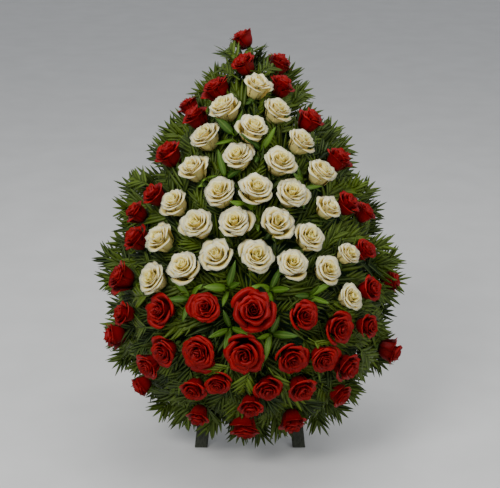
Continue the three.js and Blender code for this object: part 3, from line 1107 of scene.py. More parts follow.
@dataclass
class RoseForm:
    """A rose head with its calyx, modelled at a head radius of one.

    Attributes:
        bloom: how far it has opened.
        seed: which of its kind it is.
        cut: how its petals are cut.
        calyx: how its sepals are cut.
        whorl_turn: turn from one whorl to the next, in radians.
        whorl_stray: how far a whorl strays from that turn.
        petal_stray: how far a petal strays from its place, as a share of the way to the next.
    """

    bloom: Bloom
    seed: int
    cut: PetalCut = PetalCut()
    calyx: SepalCut = SepalCut()
    whorl_turn: float = 2.4
    whorl_stray: float = 0.2
    petal_stray: float = 0.09

    def petal(self, whorl: Whorl, turn: float, draw: random.Random) -> bpy.types.Object:
        """Bend one petal.

        Args:
            whorl: the ring that it belongs to.
            turn: its place round the axis, in radians.
            draw: seeded draws for its own small differences.

        Returns:
            The petal.
        """
        cut = self.cut
        slopes = np.radians([s + draw.uniform(-1, 1) * whorl.loose for s in whorl.slopes])
        length = whorl.length * draw.uniform(*cut.lengths)
        spread = math.radians(whorl.spread)
        phase = draw.uniform(0, 6.28)
        waves = draw.uniform(*cut.waves)
        ruffle = draw.uniform(*cut.ruffles)
        curl = math.radians(whorl.side_curl * draw.uniform(*cut.curls))
        point = draw.uniform(*cut.points)

        def shape(u: np.ndarray, v: np.ndarray) -> np.ndarray:
            """Bend the sheet into the petal.

            Args:
                u: places across, from -1 to 1.
                v: places along, from 0 to 1.

            Returns:
                A row for each point.
            """
            v = np.clip(v, 0, None) ** cut.crowding
            peak = point * v ** 4 * np.exp(-cut.point_narrowness * u * u)
            rounded = v * (1 - cut.shoulder * np.abs(u) ** 3 + peak)
            run = np.zeros_like(u)
            rise = np.zeros_like(u)
            for k in range(cut.steps):
                s = rounded * (k + 0.5) / cut.steps
                curled = np.clip((s - cut.curl_start) / (1 - cut.curl_start), 0, 1) ** 1.5
                slope = np.interp(s, cut.stations, slopes) - curl * u * u * curled
                run += np.cos(slope) / cut.steps
                rise += np.sin(slope) / cut.steps
            reach = length * rounded
            wave = ruffle * rounded ** 3 * np.sin(waves * math.pi * u + phase)
            radius = whorl.foot[0] + reach * run + cut.tuck * u * rounded + wave
            height = whorl.foot[1] + reach * rise + 0.6 * wave
            angle = turn + u * spread * (cut.claw_width + (1 - cut.claw_width) * rounded)
            return np.stack([radius * np.cos(angle), radius * np.sin(angle), height], axis=1)

        return PETAL_BLANK.bent(shape, cut.thickness)

    def sepal(self, turn: float) -> bpy.types.Object:
        """Bend one sepal of the calyx.

        Args:
            turn: its place round the axis, in radians.

        Returns:
            The sepal.
        """
        cut = self.calyx

        def shape(u: np.ndarray, v: np.ndarray) -> np.ndarray:
            """Bend the sheet into the sepal.

            Args:
                u: places across, from -1 to 1.
                v: places along, from 0 to 1.

            Returns:
                A row for each point.
            """
            belly = np.sin(math.pi * (0.12 + 0.88 * v))
            half = cut.half_width * belly * (1 - np.minimum(v, 1)) ** 0.3 + cut.tip
            x, y = cut.foot + cut.length * v, u * half
            height = cut.height - cut.sag * np.sin(v * 2.2) + cut.hollow * u * u
            c, s = math.cos(turn), math.sin(turn)
            return np.stack([x * c - y * s, x * s + y * c, height], axis=1)

        return LEAFLET_BLANK.bent(shape, cut.thickness)

    def model(self, petals: bpy.types.Material, greens: bpy.types.Material) -> bpy.types.Object:
        """Model the head.

        Args:
            petals: material of the petals.
            greens: material of the hip and sepals.

        Returns:
            The head, with its middle at the origin and facing up.
        """
        draw = random.Random(self.seed)
        pieces: list[bpy.types.Object] = []
        whorls = self.bloom.value
        for ring, whorl in enumerate(whorls):
            start = ring * self.whorl_turn + draw.uniform(-self.whorl_stray, self.whorl_stray)
            for i in range(whorl.count):
                place = (i + draw.uniform(-self.petal_stray, self.petal_stray)) / whorl.count
                petal = self.petal(whorl, start + FULL_TURN * place, draw)
                set_values(petal.data, "whorl", ring / (len(whorls) - 1))
                set_values(petal.data, "tint", draw.random())
                petal.data.materials.append(petals)
                pieces.append(petal)
        for i in range(self.calyx.count):
            sepal = self.sepal(FULL_TURN * (i + self.calyx.offset) / self.calyx.count)
            set_values(sepal.data, "tint", draw.random())
            sepal.data.materials.append(greens)
            pieces.append(sepal)
        hip = tube("hip", [Vector((0, 0, height)) for height, _ in HIP], [radius for _, radius in HIP], 8)
        hip.data.materials.append(greens)
        pieces.append(hip)
        return smoothed(joined(f"rose_{self.bloom.name}_{self.seed}", pieces))


@dataclass
class Posies:
    """All the posies of one colour.

    Attributes:
        name: the start of their solids' names.
        finish: the petals' finish.
        forms: the heads to choose from.
        swell: size of a modelled head against its solid.
        height: height of a modelled head against its width.
        stem_radius: radius of a stem at its neck.
        stem_taper: its radius at each point of its path against the neck's.
        neck_height: distance of the neck below a head's middle, in heights of the head.
        neck_length: straight length below the neck.
        stem_share: share of the way to where the stems cross that a stem is modelled.
    """

    name: str
    finish: PetalFinish
    forms: list[RoseForm]
    swell: float = 1.13
    height: float = 1.2
    stem_radius: float = 2.8
    stem_taper: tuple[float, ...] = (1, 0.9, 0.85, 0.6)
    neck_height: float = 0.9
    neck_length: float = 10
    stem_share: float = 0.7

    def build(self, posies: list[list[Head]], frame: Matrix) -> None:
        """Model every posy and place it.

        Args:
            posies: the heads of each posy.
            frame: from the wreath's frame to the part's.
        """
        petals, greens = self.finish.material(), STEM_GREEN.material()
        templates = [form.model(petals, greens) for form in self.forms]
        draw = random.Random(len(posies))
        for number, heads in enumerate(posies, 1):
            node = f"{self.name}_{number:02d}"
            pieces = [self.stemmed(head, draw.choice(templates), greens) for head in heads]
            posy = joined(f"{node}_bloom", pieces)
            posy.data.transform(frame)
            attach(posy, BODY)
            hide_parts(node)
            log.info("%s: %d heads", node, len(heads))
        discard(templates)

    def stemmed(self, head: Head, template: bpy.types.Object, greens: bpy.types.Material) -> bpy.types.Object:
        """Copy a rose onto its place and give it its stem.

        Args:
            head: where it stands.
            template: the modelled head.
            greens: material of the stem.

        Returns:
            Head and stem as one object.
        """
        side, over = square_to(head.axis, head.turn)
        turn = Matrix((side, over, head.axis)).transposed().to_4x4()
        width = head.radius * self.swell
        size = Matrix.Diagonal((width, width, width * self.height, 1))
        bloom = copied(template, Matrix.Translation(head.middle) @ turn @ size)
        neck = head.middle - head.axis * width * self.height * self.neck_height
        below = neck - head.axis * self.neck_length
        end = neck.lerp(head.root, self.stem_share)
        path = [neck, neck.lerp(below, 0.6), below.lerp(end, 0.3), end]
        stem = tube("stem", path, [self.stem_radius * share for share in self.stem_taper])
        stem.data.materials.append(greens)
        return joined("rose", [bloom, smoothed(stem)])


# Foliage


def copied(template: bpy.types.Object, place: Matrix, tint: float = 0.0) -> bpy.types.Object:
    """Copy a modelled piece with a mesh of its own.

    Args:
        template: the piece.
        place: where the copy goes.
        tint: how much brighter the copy is.

    Returns:
        The placed copy.
    """
    mesh = template.data.copy()
    mesh.transform(place)
    if tint:
        set_values(mesh, "tint", np.clip(values_of(mesh, "tint") + tint, 0, 1))
    copy = bpy.data.objects.new("copy", mesh)
    bpy.context.scene.collection.objects.link(copy)
    return copy


def planted_at(foot: Vector, along: Vector, face: Vector, size: float = 1.0) -> Matrix:
    """Find the place of a leaf that is modelled along X and facing Z.

    Args:
        foot: where its foot goes.
        along: the way that it starts off.
        face: the way that its upper side looks.
        size: its size against the model's.

    Returns:
        The matrix that sets it there.
    """
    forward = along.normalized()
    up = (face - forward * face.dot(forward)).normalized()
    turn = Matrix((forward, up.cross(forward), up)).transposed().to_4x4()
    return Matrix.Translation(foot) @ turn @ Matrix.Scale(size, 4)


@dataclass
class HeadRoom:
    """The room that the rose heads take, which leaves bend round.

    Attributes:
        heads: the heads.
        swell: size of a modelled head against its solid.
        heights: heights up a cup, in head radii.
        walls: the cup's radius at those heights.
    """

    heads: list[Head]
    swell: float = 1.16
    heights: tuple[float, ...] = (-1.1, -0.88, -0.6, -0.12, 0.3, 0.56)
    walls: tuple[float, ...] = (0.1, 0.32, 0.64, 0.84, 1.0, 1.02)

    def clear(self, points: np.ndarray) -> np.ndarray:
        """Push points that lie inside a head's cup out through its wall or its bottom, by the shorter way.

        Args:
            points: rows of places in the wreath's frame.

        Returns:
            The moved rows.
        """
        points = points.copy()
        not_zero = 1e-6
        for head in self.heads:
            radius = head.radius * self.swell
            axis = np.array(head.axis)
            away = (points - np.array(head.middle)) / radius
            height = away @ axis
            flat = away - np.outer(height, axis)
            reach = np.linalg.norm(flat, axis=1) + not_zero
            out = np.interp(height, self.heights, self.walls) - reach
            down = height - np.interp(reach, self.walls, self.heights)
            inside = (height > self.heights[0]) & (height < self.heights[-1]) & (out > 0)
            aside = inside & (out <= down)
            below = inside & (out > down)
            points += radius * flat * np.where(aside, out / reach, 0)[:, None]
            points -= radius * np.outer(np.where(below, down, 0), axis)
        return points


@dataclass
class Blade:
    """A narrow or broad leaf, bent along its length.

    Attributes:
        length: from foot to tip.
        width: greatest width.
        belly: where along it is widest, from 0 to 1.
        droop: angle that it bends down through along its length, in radians.
        fold: how deep its two halves are folded, as a share of the width.
        thickness: thickness of the blade.
        edge: half of the width at foot and tip.
        fullness: power that makes its outline full when it is small.
    """

    length: float
    width: float
    belly: float = 0.4
    droop: float = 0.5
    fold: float = 0.2
    thickness: float = 0.7
    edge: float = 0.2
    fullness: float = 0.8

    def bend(self, blank: Blank, foot: Vector, along: Vector, face: Vector, tint: float,
             twist: float = 0.0) -> bpy.types.Object:
        """Bend one leaf from a blank.

        Args:
            blank: the sheet to bend.
            foot: where it starts.
            along: the way it starts off.
            face: the way its upper side looks.
            tint: how bright it is, from 0 to 1.
            twist: turn of its tip about its own length, in radians.

        Returns:
            The leaf.
        """
        forward = along.normalized()
        up = (face - forward * face.dot(forward)).normalized()
        origin, ahead, above, beside = (np.array(v) for v in (foot, forward, up, forward.cross(up)))
        power = math.log(0.5) / math.log(self.belly)

        def shape(u: np.ndarray, v: np.ndarray) -> np.ndarray:
            """Bend the sheet into the leaf.

            Args:
                u: places across, from -1 to 1.
                v: places along, from 0 to 1.

            Returns:
                A row for each point.
            """
            v = np.clip(v, 0.0, 1.0)
            half = self.width / 2 * np.sin(math.pi * v ** power) ** self.fullness + self.edge
            bend = self.droop * v
            chord = self.length * v * np.sinc(bend / FULL_TURN)
            turn = twist * v
            lift = self.fold * half * np.abs(u)
            left = u * half * np.cos(turn) - lift * np.sin(turn)
            rise = u * half * np.sin(turn) + lift * np.cos(turn) - chord * np.sin(bend / 2)
            reach = np.outer(chord * np.cos(bend / 2), ahead)
            return origin + reach + np.outer(rise, above) + np.outer(left, beside)

        leaf = blank.bent(shape, self.thickness)
        set_values(leaf.data, "tint", tint)
        return leaf


@dataclass
class Frond:
    """A palm frond: a rib with narrow leaflets along both sides and one at its tip.

    Attributes:
        length: of the rib.
        leaflet: length of the longest leaflet.
        pairs: leaflets on each side.
        angle: of a leaflet from the rib, in degrees.
        arch: angle that the rib bends down through, in radians.
        stalk: length of bare stalk below the foot.
        width: of a leaflet.
        seed: which of its kind it is.
        rib_radius: radius of the rib at its foot.
        tip_radius: radius of the rib at its tip.
        rib_steps: steps along the rib.
        first: where along the rib the first leaflets stand.
        last: where along the rib the last ones stand.
        shortest: length of the shortest leaflet against the longest.
        end_leaflet: length of the leaflet at the tip against the longest.
        closing: how much closer to the rib the leaflets lie towards the tip, in degrees.
        stray: how far a leaflet strays from its angle, in degrees.
        raised: how far leaflets rise over the rib.
        lengths: least and greatest length of a leaflet against its fellows.
        widths: least and greatest width.
        droops: least and greatest droop.
        twists: least and greatest twist.
        shade: how much darker or brighter a leaflet is than its fellows.
        belly: where along it a leaflet is widest.
        fold: how deep it is folded.
    """

    length: float
    leaflet: float
    pairs: int
    angle: float
    arch: float
    stalk: float
    width: float
    seed: int
    rib_radius: float = 1.4
    tip_radius: float = 0.5
    rib_steps: int = 6
    first: float = 0.12
    last: float = 0.98
    shortest: float = 0.66
    end_leaflet: float = 0.6
    closing: float = 16
    stray: float = 5
    raised: Pair = (0.0, 0.2)
    lengths: Pair = (0.86, 1.12)
    widths: Pair = (0.85, 1.15)
    droops: Pair = (0.1, 0.6)
    twists: Pair = (-0.5, 0.5)
    shade: float = 0.16
    belly: float = 0.36
    fold: float = 0.35

    def rib(self, share: float) -> tuple[Vector, Vector]:
        """Follow the rib.

        Args:
            share: how far along it, from 0 to 1.

        Returns:
            The point there and the way that the rib runs.
        """
        bend = self.arch * share
        reach = self.length * share
        place = Vector((reach * math.cos(bend / 2), 0, -reach * math.sin(bend / 2)))
        return place, Vector((math.cos(bend), 0, -math.sin(bend)))

    def model(self, finish: bpy.types.Material) -> bpy.types.Object:
        """Model the frond along X, facing Z.

        Args:
            finish: its material.

        Returns:
            The frond.
        """
        draw = random.Random(self.seed)
        up, side = Vector((0, 0, 1)), Vector((0, 1, 0))
        shares = [k / self.rib_steps for k in range(self.rib_steps + 1)]
        path = [Vector((-self.stalk, 0, 0))] + [self.rib(share)[0] for share in shares]
        taper = self.rib_radius - self.tip_radius
        radii = [self.rib_radius] + [self.rib_radius - taper * share for share in shares]
        pieces = [tube("rib", path, radii, 5)]
        for k in range(self.pairs):
            share = self.first + (self.last - self.first) * k / (self.pairs - 1)
            start, heading = self.rib(share)
            swelling = math.sin(math.pi * (0.2 + 0.75 * share))
            size = self.leaflet * (self.shortest + (1 - self.shortest) * swelling)
            for sign in (-1, 1):
                strayed = draw.uniform(-self.stray, self.stray)
                angle = math.radians(self.angle - self.closing * share + strayed)
                aside = heading * math.cos(angle) + side * sign * math.sin(angle)
                out = aside + up * draw.uniform(*self.raised)
                blade = Blade(
                    length=size * draw.uniform(*self.lengths),
                    width=self.width * draw.uniform(*self.widths),
                    belly=self.belly,
                    droop=draw.uniform(*self.droops),
                    fold=self.fold,
                )
                tint = MIDDLE_TINT + draw.uniform(-self.shade, self.shade)
                pieces.append(blade.bend(LEAFLET_BLANK, start, out, up, tint, draw.uniform(*self.twists)))
        tip, heading = self.rib(1.0)
        end = Blade(self.leaflet * self.end_leaflet, self.width, self.belly, droop=0.2, fold=self.fold)
        pieces.append(end.bend(LEAFLET_BLANK, tip, heading, up, MIDDLE_TINT))
        for piece in pieces:
            piece.data.materials.append(finish)
        return smoothed(joined(f"frond_{self.seed}", pieces))


@dataclass
class Foliage:
    """What all the green pieces share.

    Attributes:
        dome: the dome that they grow on.
        room: the room that they leave to the heads.
        frame: from the wreath's frame to the part's.
        tear_stretch: a leaflet whose edge grows longer than this many times is torn.
        tear_slack: length that an edge may grow by besides.
    """

    dome: Dome
    room: HeadRoom
    frame: Matrix
    tear_stretch: float = 2
    tear_slack: float = 4

    def settle(self, name: str, pieces: list[bpy.types.Object], slot: str, node: str | None = None) -> None:
        """Join pieces of foliage, bend them round the heads and put them in the part's frame.

        Args:
            name: name of the joined object.
            pieces: the leaves and ribs, in the wreath's frame.
            slot: the record's material slot; not used.
            node: the solid that they stand for, if there is one.
        """
        whole = joined(name, pieces)
        self.make_room(whole)
        whole.data.transform(self.frame)
        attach(whole, BODY)
        if node:
            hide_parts(node)
        log.info("%s: %d faces", name, len(whole.data.polygons))

    def make_room(self, whole: bpy.types.Object) -> None:
        """Bend leaves round the heads, and drop each leaflet that a head would tear in two.

        Args:
            whole: joined leaves and ribs, in the wreath's frame.
        """
        mesh = whole.data
        straight = points_of(mesh)
        bent = self.room.clear(self.room.clear(straight))
        edges = np.empty(len(mesh.edges) * 2, np.int32)
        mesh.edges.foreach_get("vertices", edges)
        a, b = edges.reshape(-1, 2).T
        before = np.linalg.norm(straight[a] - straight[b], axis=1)
        after = np.linalg.norm(bent[a] - bent[b], axis=1)
        torn = np.zeros(len(straight), bool)
        torn[a[after > self.tear_stretch * before + self.tear_slack]] = True
        counted = -1
        while counted != torn.sum():
            counted = torn.sum()
            linked = torn[a] | torn[b]
            torn[a[linked]] = True
            torn[b[linked]] = True
        kept = np.abs(values_of(mesh, "back") - STALK_MARK) < TINY
        set_points(mesh, np.where((torn & kept)[:, None], straight, bent))
        take(whole)
        bpy.ops.object.mode_set(mode="EDIT")
        bpy.ops.mesh.select_all(action="DESELECT")
        bpy.ops.object.mode_set(mode="OBJECT")
        mesh.vertices.foreach_set("select", torn & ~kept)
        bpy.ops.object.mode_set(mode="EDIT")
        bpy.ops.mesh.delete(type="VERT")
        bpy.ops.object.mode_set(mode="OBJECT")


@dataclass(frozen=True)
class Stray:
    """How far the fronds of one group stray from one another.

    Attributes:
        swing: greatest turn to either side, in radians.
        sizes: least and greatest size.
        tints: least and greatest brightening.
    """

    swing: float
    sizes: Pair
    tints: Pair

    def turn(self, draw: random.Random, axis: Vector) -> Matrix:
        """Draw a turn about an axis."""
        return Matrix.Rotation(draw.uniform(-self.swing, self.swing), 3, axis)


@dataclass
class Fronds(Foliage):
    """Palm fronds: forked ones round the rim, where their solids stand, and small ones between the heads.

    Attributes:
        forks: forked fronds round the rim.
        depths: depths at which their stalks enter the foam's side, in turn.
        fork_angle: half of the angle between a fork's two fronds.
        rim_arches: how far the three kinds of rim frond arch.
        rim_seed: seed of the first kind.
        rim_draws: seed of the rim's draws.
        small_kinds: kinds of small frond.
        small_seed: seed of the first kind.
        small_draws: seed of the small fronds' draws.
        small_reach: length of a small frond from foot to tip.
        collar: fronds round the foam's side above the forks.
        collar_depths: least and greatest depth of their feet.
        collar_rises: least and greatest rise towards the front.
        collar_tilt: how far their faces are tilted inwards.
        collar_root: how far their feet are sunk into the foam.
        spacing: least distance between small fronds in the gaps.
        tries: draws of a place for them.
        brink: how far out they still grow.
        head_gap: least distance from half of a head's radius.
        gap_lean: how steeply they stand at the pole, in degrees.
        gap_lean_loss: how much less steeply at the rim.
        gap_lean_stray: how far they stray from that.
        gap_depth: how far below the heads' middles they start.
        gap_root: how far their feet are sunk from there.
        sectors: pieces that the small fronds are joined into.
        rim_stray: how the rim's fronds stray.
        collar_stray: how the collar's do.
        gap_stray: how those in the gaps do.
    """

    forks: int = 13
    depths: Pair = (5, 9.5)
    fork_angle: float = math.radians(20)
    rim_arches: tuple[float, ...] = (-0.5, -0.25, 0.0)
    rim_seed: int = 10
    rim_draws: int = 11
    small_kinds: int = 4
    small_seed: int = 20
    small_draws: int = 23
    small_reach: float = 78
    collar: int = 68
    collar_depths: Pair = (8, 62)
    collar_rises: Pair = (-0.12, 0.7)
    collar_tilt: float = 0.3
    collar_root: float = 6
    spacing: float = 23
    tries: int = 5000
    brink: float = 0.985
    head_gap: float = 12
    gap_lean: float = 44
    gap_lean_loss: float = 20
    gap_lean_stray: float = 12
    gap_depth: float = 32
    gap_root: float = 10
    sectors: int = 12
    rim_stray: Stray = Stray(swing=0, sizes=(0.86, 1.04), tints=(-0.4, 0.15))
    collar_stray: Stray = Stray(swing=0.35, sizes=(0.84, 1.08), tints=(-0.45, 0.2))
    gap_stray: Stray = Stray(swing=0.9, sizes=(0.75, 1.15), tints=(-0.5, 0.3))

    def round_foam(self, count: int, start: float = 0.5) -> list[tuple[Vector, Vector]]:
        """Space places evenly round the foam's side.

        Args:
            count: how many.
            start: how far along its share the first one stands.

        Returns:
            The place of each in the face's plane and the way out from it.
        """
        steps = 720
        outline = [Vector(self.dome.foam.point(FULL_TURN * i / steps)) for i in range(steps + 1)]
        total = sum((b - a).length for a, b in zip(outline, outline[1:]))
        places: list[tuple[Vector, Vector]] = []
        run = 0.0
        pole = Vector((0, self.dome.foam.pole))
        for a, b in zip(outline, outline[1:]):
            run += (b - a).length
            if len(places) < count and run >= (len(places) + start) * total / count:
                along = (b - a).normalized()
                out = Vector((-along.y, along.x))
                places.append((b, out if out.dot(b - pole) > 0 else -out))
        return places

    def build(self) -> None:
        """Model the fronds and place them."""
        green = FROND_GREEN.material()
        self.plant_rim(green)
        self.plant_between(green)

    def plant_rim(self, green: bpy.types.Material) -> None:
        """Place the forked fronds of the rim.

        Args:
            green: their material.
        """
        draw = random.Random(self.rim_draws)
        forms = [
            Frond(length=60, leaflet=50, pairs=9, angle=42, arch=arch, stalk=26, width=5.6, seed=seed)
            for seed, arch in enumerate(self.rim_arches, self.rim_seed)
        ]
        models = [form.model(green) for form in forms]
        face = at(0, 1, 0)
        stray = self.rim_stray
        for number, (place, away) in enumerate(self.round_foam(self.forks), 1):
            node = f"palm_fronds_{number:02d}"
            foot = at(place.x, self.depths[(number - 1) % len(self.depths)], place.y)
            out = at(away.x, 0, away.y)
            pieces: list[bpy.types.Object] = []
            for sign in (-1, 1):
                along = Matrix.Rotation(sign * self.fork_angle, 3, face) @ out
                size = draw.uniform(*stray.sizes)
                model = draw.choice(models)
                pieces.append(copied(model, planted_at(foot, along, face, size), draw.uniform(*stray.tints)))
            self.settle(f"{node}_leaf", pieces, "frond_green", node)
        discard(models)

    def plant_between(self, green: bpy.types.Material) -> None:
        """Place small fronds round the foam's side, in the gaps between the heads and over the heads.

        Args:
            green: their material.
        """
        draw = random.Random(self.small_draws)
        forms = [
            Frond(length=44, leaflet=46, pairs=5, angle=36, arch=0.3, stalk=16, width=6.4, seed=seed)
            for seed in range(self.small_seed, self.small_seed + self.small_kinds)
        ]
        models = [form.model(green) for form in forms]
        beds: list[list[bpy.types.Object]] = [[] for _ in range(self.sectors)]

        def plant(foot: Vector, along: Vector, face: Vector, size: float, tint: float) -> None:
            """Copy a small frond into the sector that its foot stands in.

            Args:
                foot: where it stands.
                along: the way that it starts off.
                face: the way that its upper side looks.
                size: its size.
                tint: how much brighter it is.
            """
            bearing = math.atan2(foot.x, foot.z - self.dome.rim.pole) / FULL_TURN + 0.5
            frond = copied(draw.choice(models), planted_at(foot, along, face, size), tint)
            beds[int(bearing * self.sectors) % self.sectors].append(frond)

        self.plant_collar(draw, plant)
        self.plant_gaps(draw, plant)
        self.plant_lying(plant)
        for number, pieces in enumerate(beds, 1):
            self.settle(f"side_fronds_{number:02d}", pieces, "frond_green")
        discard(models)

    def plant_collar(self, draw: random.Random, plant: Plant) -> None:
        """Plant the small fronds round the foam's side.

        Args:
            draw: seeded draws.
            plant: plants one.
        """
        face = at(0, 1, 0)
        stray = self.collar_stray
        for place, away in self.round_foam(self.collar, 0.25):
            out = at(away.x, 0, away.y)
            along = stray.turn(draw, face) @ out + at(0, draw.uniform(*self.collar_rises), 0)
            foot = at(place.x, draw.uniform(*self.collar_depths), place.y) - out * self.collar_root
            tilted = face - out * self.collar_tilt
            plant(foot, along, tilted, draw.uniform(*stray.sizes), draw.uniform(*stray.tints))

    def plant_gaps(self, draw: random.Random, plant: Plant) -> None:
        """Plant the small fronds in the gaps between the heads.

        Args:
            draw: seeded draws.
            plant: plants one.
        """
        stray = self.gap_stray
        for spot in self.spots(draw):
            out = self.dome.rim.outness(spot.middle.x, spot.middle.z)
            away = at(spot.middle.x, 0, spot.middle.z - self.dome.rim.pole).normalized()
            flat = (away - spot.axis * away.dot(spot.axis)).normalized()
            swung = stray.turn(draw, spot.axis) @ flat
            strayed = draw.uniform(-self.gap_lean_stray, self.gap_lean_stray)
            lean = math.radians(self.gap_lean - self.gap_lean_loss * out + strayed)
            along = swung * math.cos(lean) + spot.axis * math.sin(lean)
            foot = spot.middle - spot.axis * self.gap_depth - along * self.gap_root
            plant(foot, along, spot.axis, draw.uniform(*stray.sizes), draw.uniform(*stray.tints))

    def plant_lying(self, plant: Plant) -> None:
        """Plant the small fronds that lie over the heads.

        Args:
            plant: plants one.
        """
        clearance, rise = 4, 8
        for start, end, tint in LYING_FRONDS:
            spot, far = self.dome.planted(*start), self.dome.planted(*end)
            along = far.middle - spot.middle + spot.axis * rise
            size = min(1.0, along.length / self.small_reach)
            plant(spot.middle + spot.axis * clearance, along, spot.axis, size, tint)

    def spots(self, draw: random.Random) -> list[Head]:
        """Scatter planting spots between the heads.

        Args:
            draw: seeded draws.

        Returns:
            The spots, as heads without width.
        """
        rim = self.dome.rim
        found: list[Head] = []
        for _ in range(self.tries):
            x = draw.uniform(-rim.half_width, rim.half_width)
            z = draw.uniform(rim.bottom, rim.top)
            if rim.outness(x, z) > self.brink:
                continue
            middle = at(x, self.dome.depth(x, z), z)
            if any((middle - h.middle).length < h.radius / 2 + self.head_gap for h in self.room.heads):
                continue
            if any((middle - other.middle).length < self.spacing for other in found):
                continue
            found.append(Head(middle, self.dome.normal(x, z), 0))
        log.info("small fronds: %d", len(found))
        return found


@dataclass
class LeafSprays(Foliage):
    """The sprays of broad leaves between the heads, where their solids stand.

    Attributes:
        depth: how far below the heads' middles the leaves part.
        reach: the heads that the leaves part between are this near.
        leaf_length: length of a leaf.
        kinds: width, droop and twist of each kind of leaf.
        stalk: length of the stalk below and above where the leaves part.
        stalk_radii: its radius at its foot, where the leaves part and at its tip.
        step: distance along the stalk from one leaf to the next.
        swing: how far a leaf strays from the middle of its gap, in radians.
        rise: how steeply the lower leaves stand, in degrees.
        rise_more: how much more steeply every other leaf does.
        rise_stray: how far a leaf strays from that.
        sizes: least and greatest size of a leaf.
        tints: least and greatest brightening.
        seed: seed of the draws.
    """

    depth: float = 24
    reach: float = 78
    leaf_length: float = 54
    kinds: tuple[Place, ...] = ((14, 0.2, 0.3), (16, 0.45, -0.2), (12, -0.2, 0.1))
    stalk: Pair = (55, 20)
    stalk_radii: Place = (1.6, 2, 0.6)
    step: float = 3.2
    swing: float = 0.25
    rise: float = 34
    rise_more: float = 16
    rise_stray: float = 9
    sizes: Pair = (0.75, 1.1)
    tints: Pair = (-0.5, 0.2)
    seed: int = 5

    def leaves(self) -> list[bpy.types.Object]:
        """Model one leaf of each kind along X, facing Z.

        Returns:
            The leaves.
        """
        origin, ahead, up = Vector(), Vector((1, 0, 0)), Vector((0, 0, 1))
        made: list[bpy.types.Object] = []
        for width, droop, twist in self.kinds:
            blade = Blade(self.leaf_length, width, belly=0.42, droop=droop, fold=0.2, thickness=0.8)
            made.append(smoothed(blade.bend(LEAF_BLANK, origin, ahead, up, MIDDLE_TINT, twist)))
        return made

    def gaps(self, spot: Head) -> list[float]:
        """Find the gaps between the heads round a spot.

        Args:
            spot: where the leaves part.

        Returns:
            The bearing of each gap's middle, in radians.
        """
        right, over = square_to(spot.axis)
        ways = [head.middle - spot.middle for head in self.room.heads]
        near = [way for way in ways if way.length < self.reach]
        around = sorted(math.atan2(way.dot(over), way.dot(right)) for way in near)
        following = around[1:] + [around[0] + FULL_TURN]
        return [(angle + after) / 2 for angle, after in zip(around, following)]

    def build(self) -> None:
        """Model every spray and place it."""
        green = LEAF_GREEN.material()
        draw = random.Random(self.seed)
        forms = self.leaves()
        for number, place in enumerate(SPRAYS, 1):
            spot = self.dome.planted(*place)
            foot = spot.middle - spot.axis * self.depth
            right, over = square_to(spot.axis)
            path = [foot - spot.axis * self.stalk[0], foot, foot + spot.axis * self.stalk[1]]
            pieces = [smoothed(tube("stalk", path, list(self.stalk_radii)))]
            for i, middle in enumerate(self.gaps(spot)):
                bearing = middle + draw.uniform(-self.swing, self.swing)
                out = right * math.cos(bearing) + over * math.sin(bearing)
                strayed = draw.uniform(-self.rise_stray, self.rise_stray)
                rise = math.radians(self.rise + self.rise_more * (i % 2) + strayed)
                along = out * math.cos(rise) + spot.axis * math.sin(rise)
                start = foot + spot.axis * self.step * i
                set_at = planted_at(start, along, spot.axis, draw.uniform(*self.sizes))
                pieces.append(copied(draw.choice(forms), set_at, draw.uniform(*self.tints)))
            for piece in pieces:
                piece.data.materials.clear()
                piece.data.materials.append(green)
            node = f"leaf_spray_{number:02d}"
            self.settle(f"{node}_leaf", pieces, "leaf_green", node)
        discard(forms)


# Foam, board and easel


@dataclass
class Foam:
    """The foam that all stems stand in, with a crumbly cut skin.

    Attributes:
        crumb: size of the crumbs.
        relief: how much the skin rises and falls.
        bedded: depth over the board below which the skin stays flat.
        hollow: share of the relief that lies below the cut face.
    """

    crumb: float = 0.009
    relief: float = 0.004
    bedded: float = 6.0
    hollow: float = 0.6

    def build(self, solid: bpy.types.Object, frame: Matrix) -> None:
        """Copy the solid and roughen its skin.

        Args:
            solid: the foam's solid.
            frame: from the wreath's frame to the part's.
        """
        foam = skin_of(solid, "floral_foam_skin")
        even = foam.modifiers.new("Even", "REMESH")
        even.mode = "VOXEL"
        even.voxel_size = self.relief
        bpy.ops.object.modifier_apply(modifier="Even")
        to_wreath = frame.inverted()
        depths = -(points_of(foam.data) @ np.array(to_wreath.to_3x3()).T)[:, 1] - to_wreath.translation.y
        skin = foam.vertex_groups.new(name="skin")
        skin.add(np.nonzero(depths > self.bedded)[0].tolist(), 1.0, "REPLACE")
        clouds = bpy.data.textures.new("foam_crumb", "CLOUDS")
        clouds.noise_scale = self.crumb
        rough = foam.modifiers.new("Rough", "DISPLACE")
        rough.texture = clouds
        rough.texture_coords = "LOCAL"
        rough.vertex_group = "skin"
        rough.strength = self.relief
        rough.mid_level = self.hollow
        bpy.ops.object.modifier_apply(modifier="Rough")
        foam.vertex_groups.clear()
        smoothed(foam)
        foam.data.materials.clear()
        foam.data.materials.append(FOAM_GREEN.material())
        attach(foam, BODY)
        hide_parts("floral_foam")
        log.info("floral_foam: %d faces", len(foam.data.polygons))


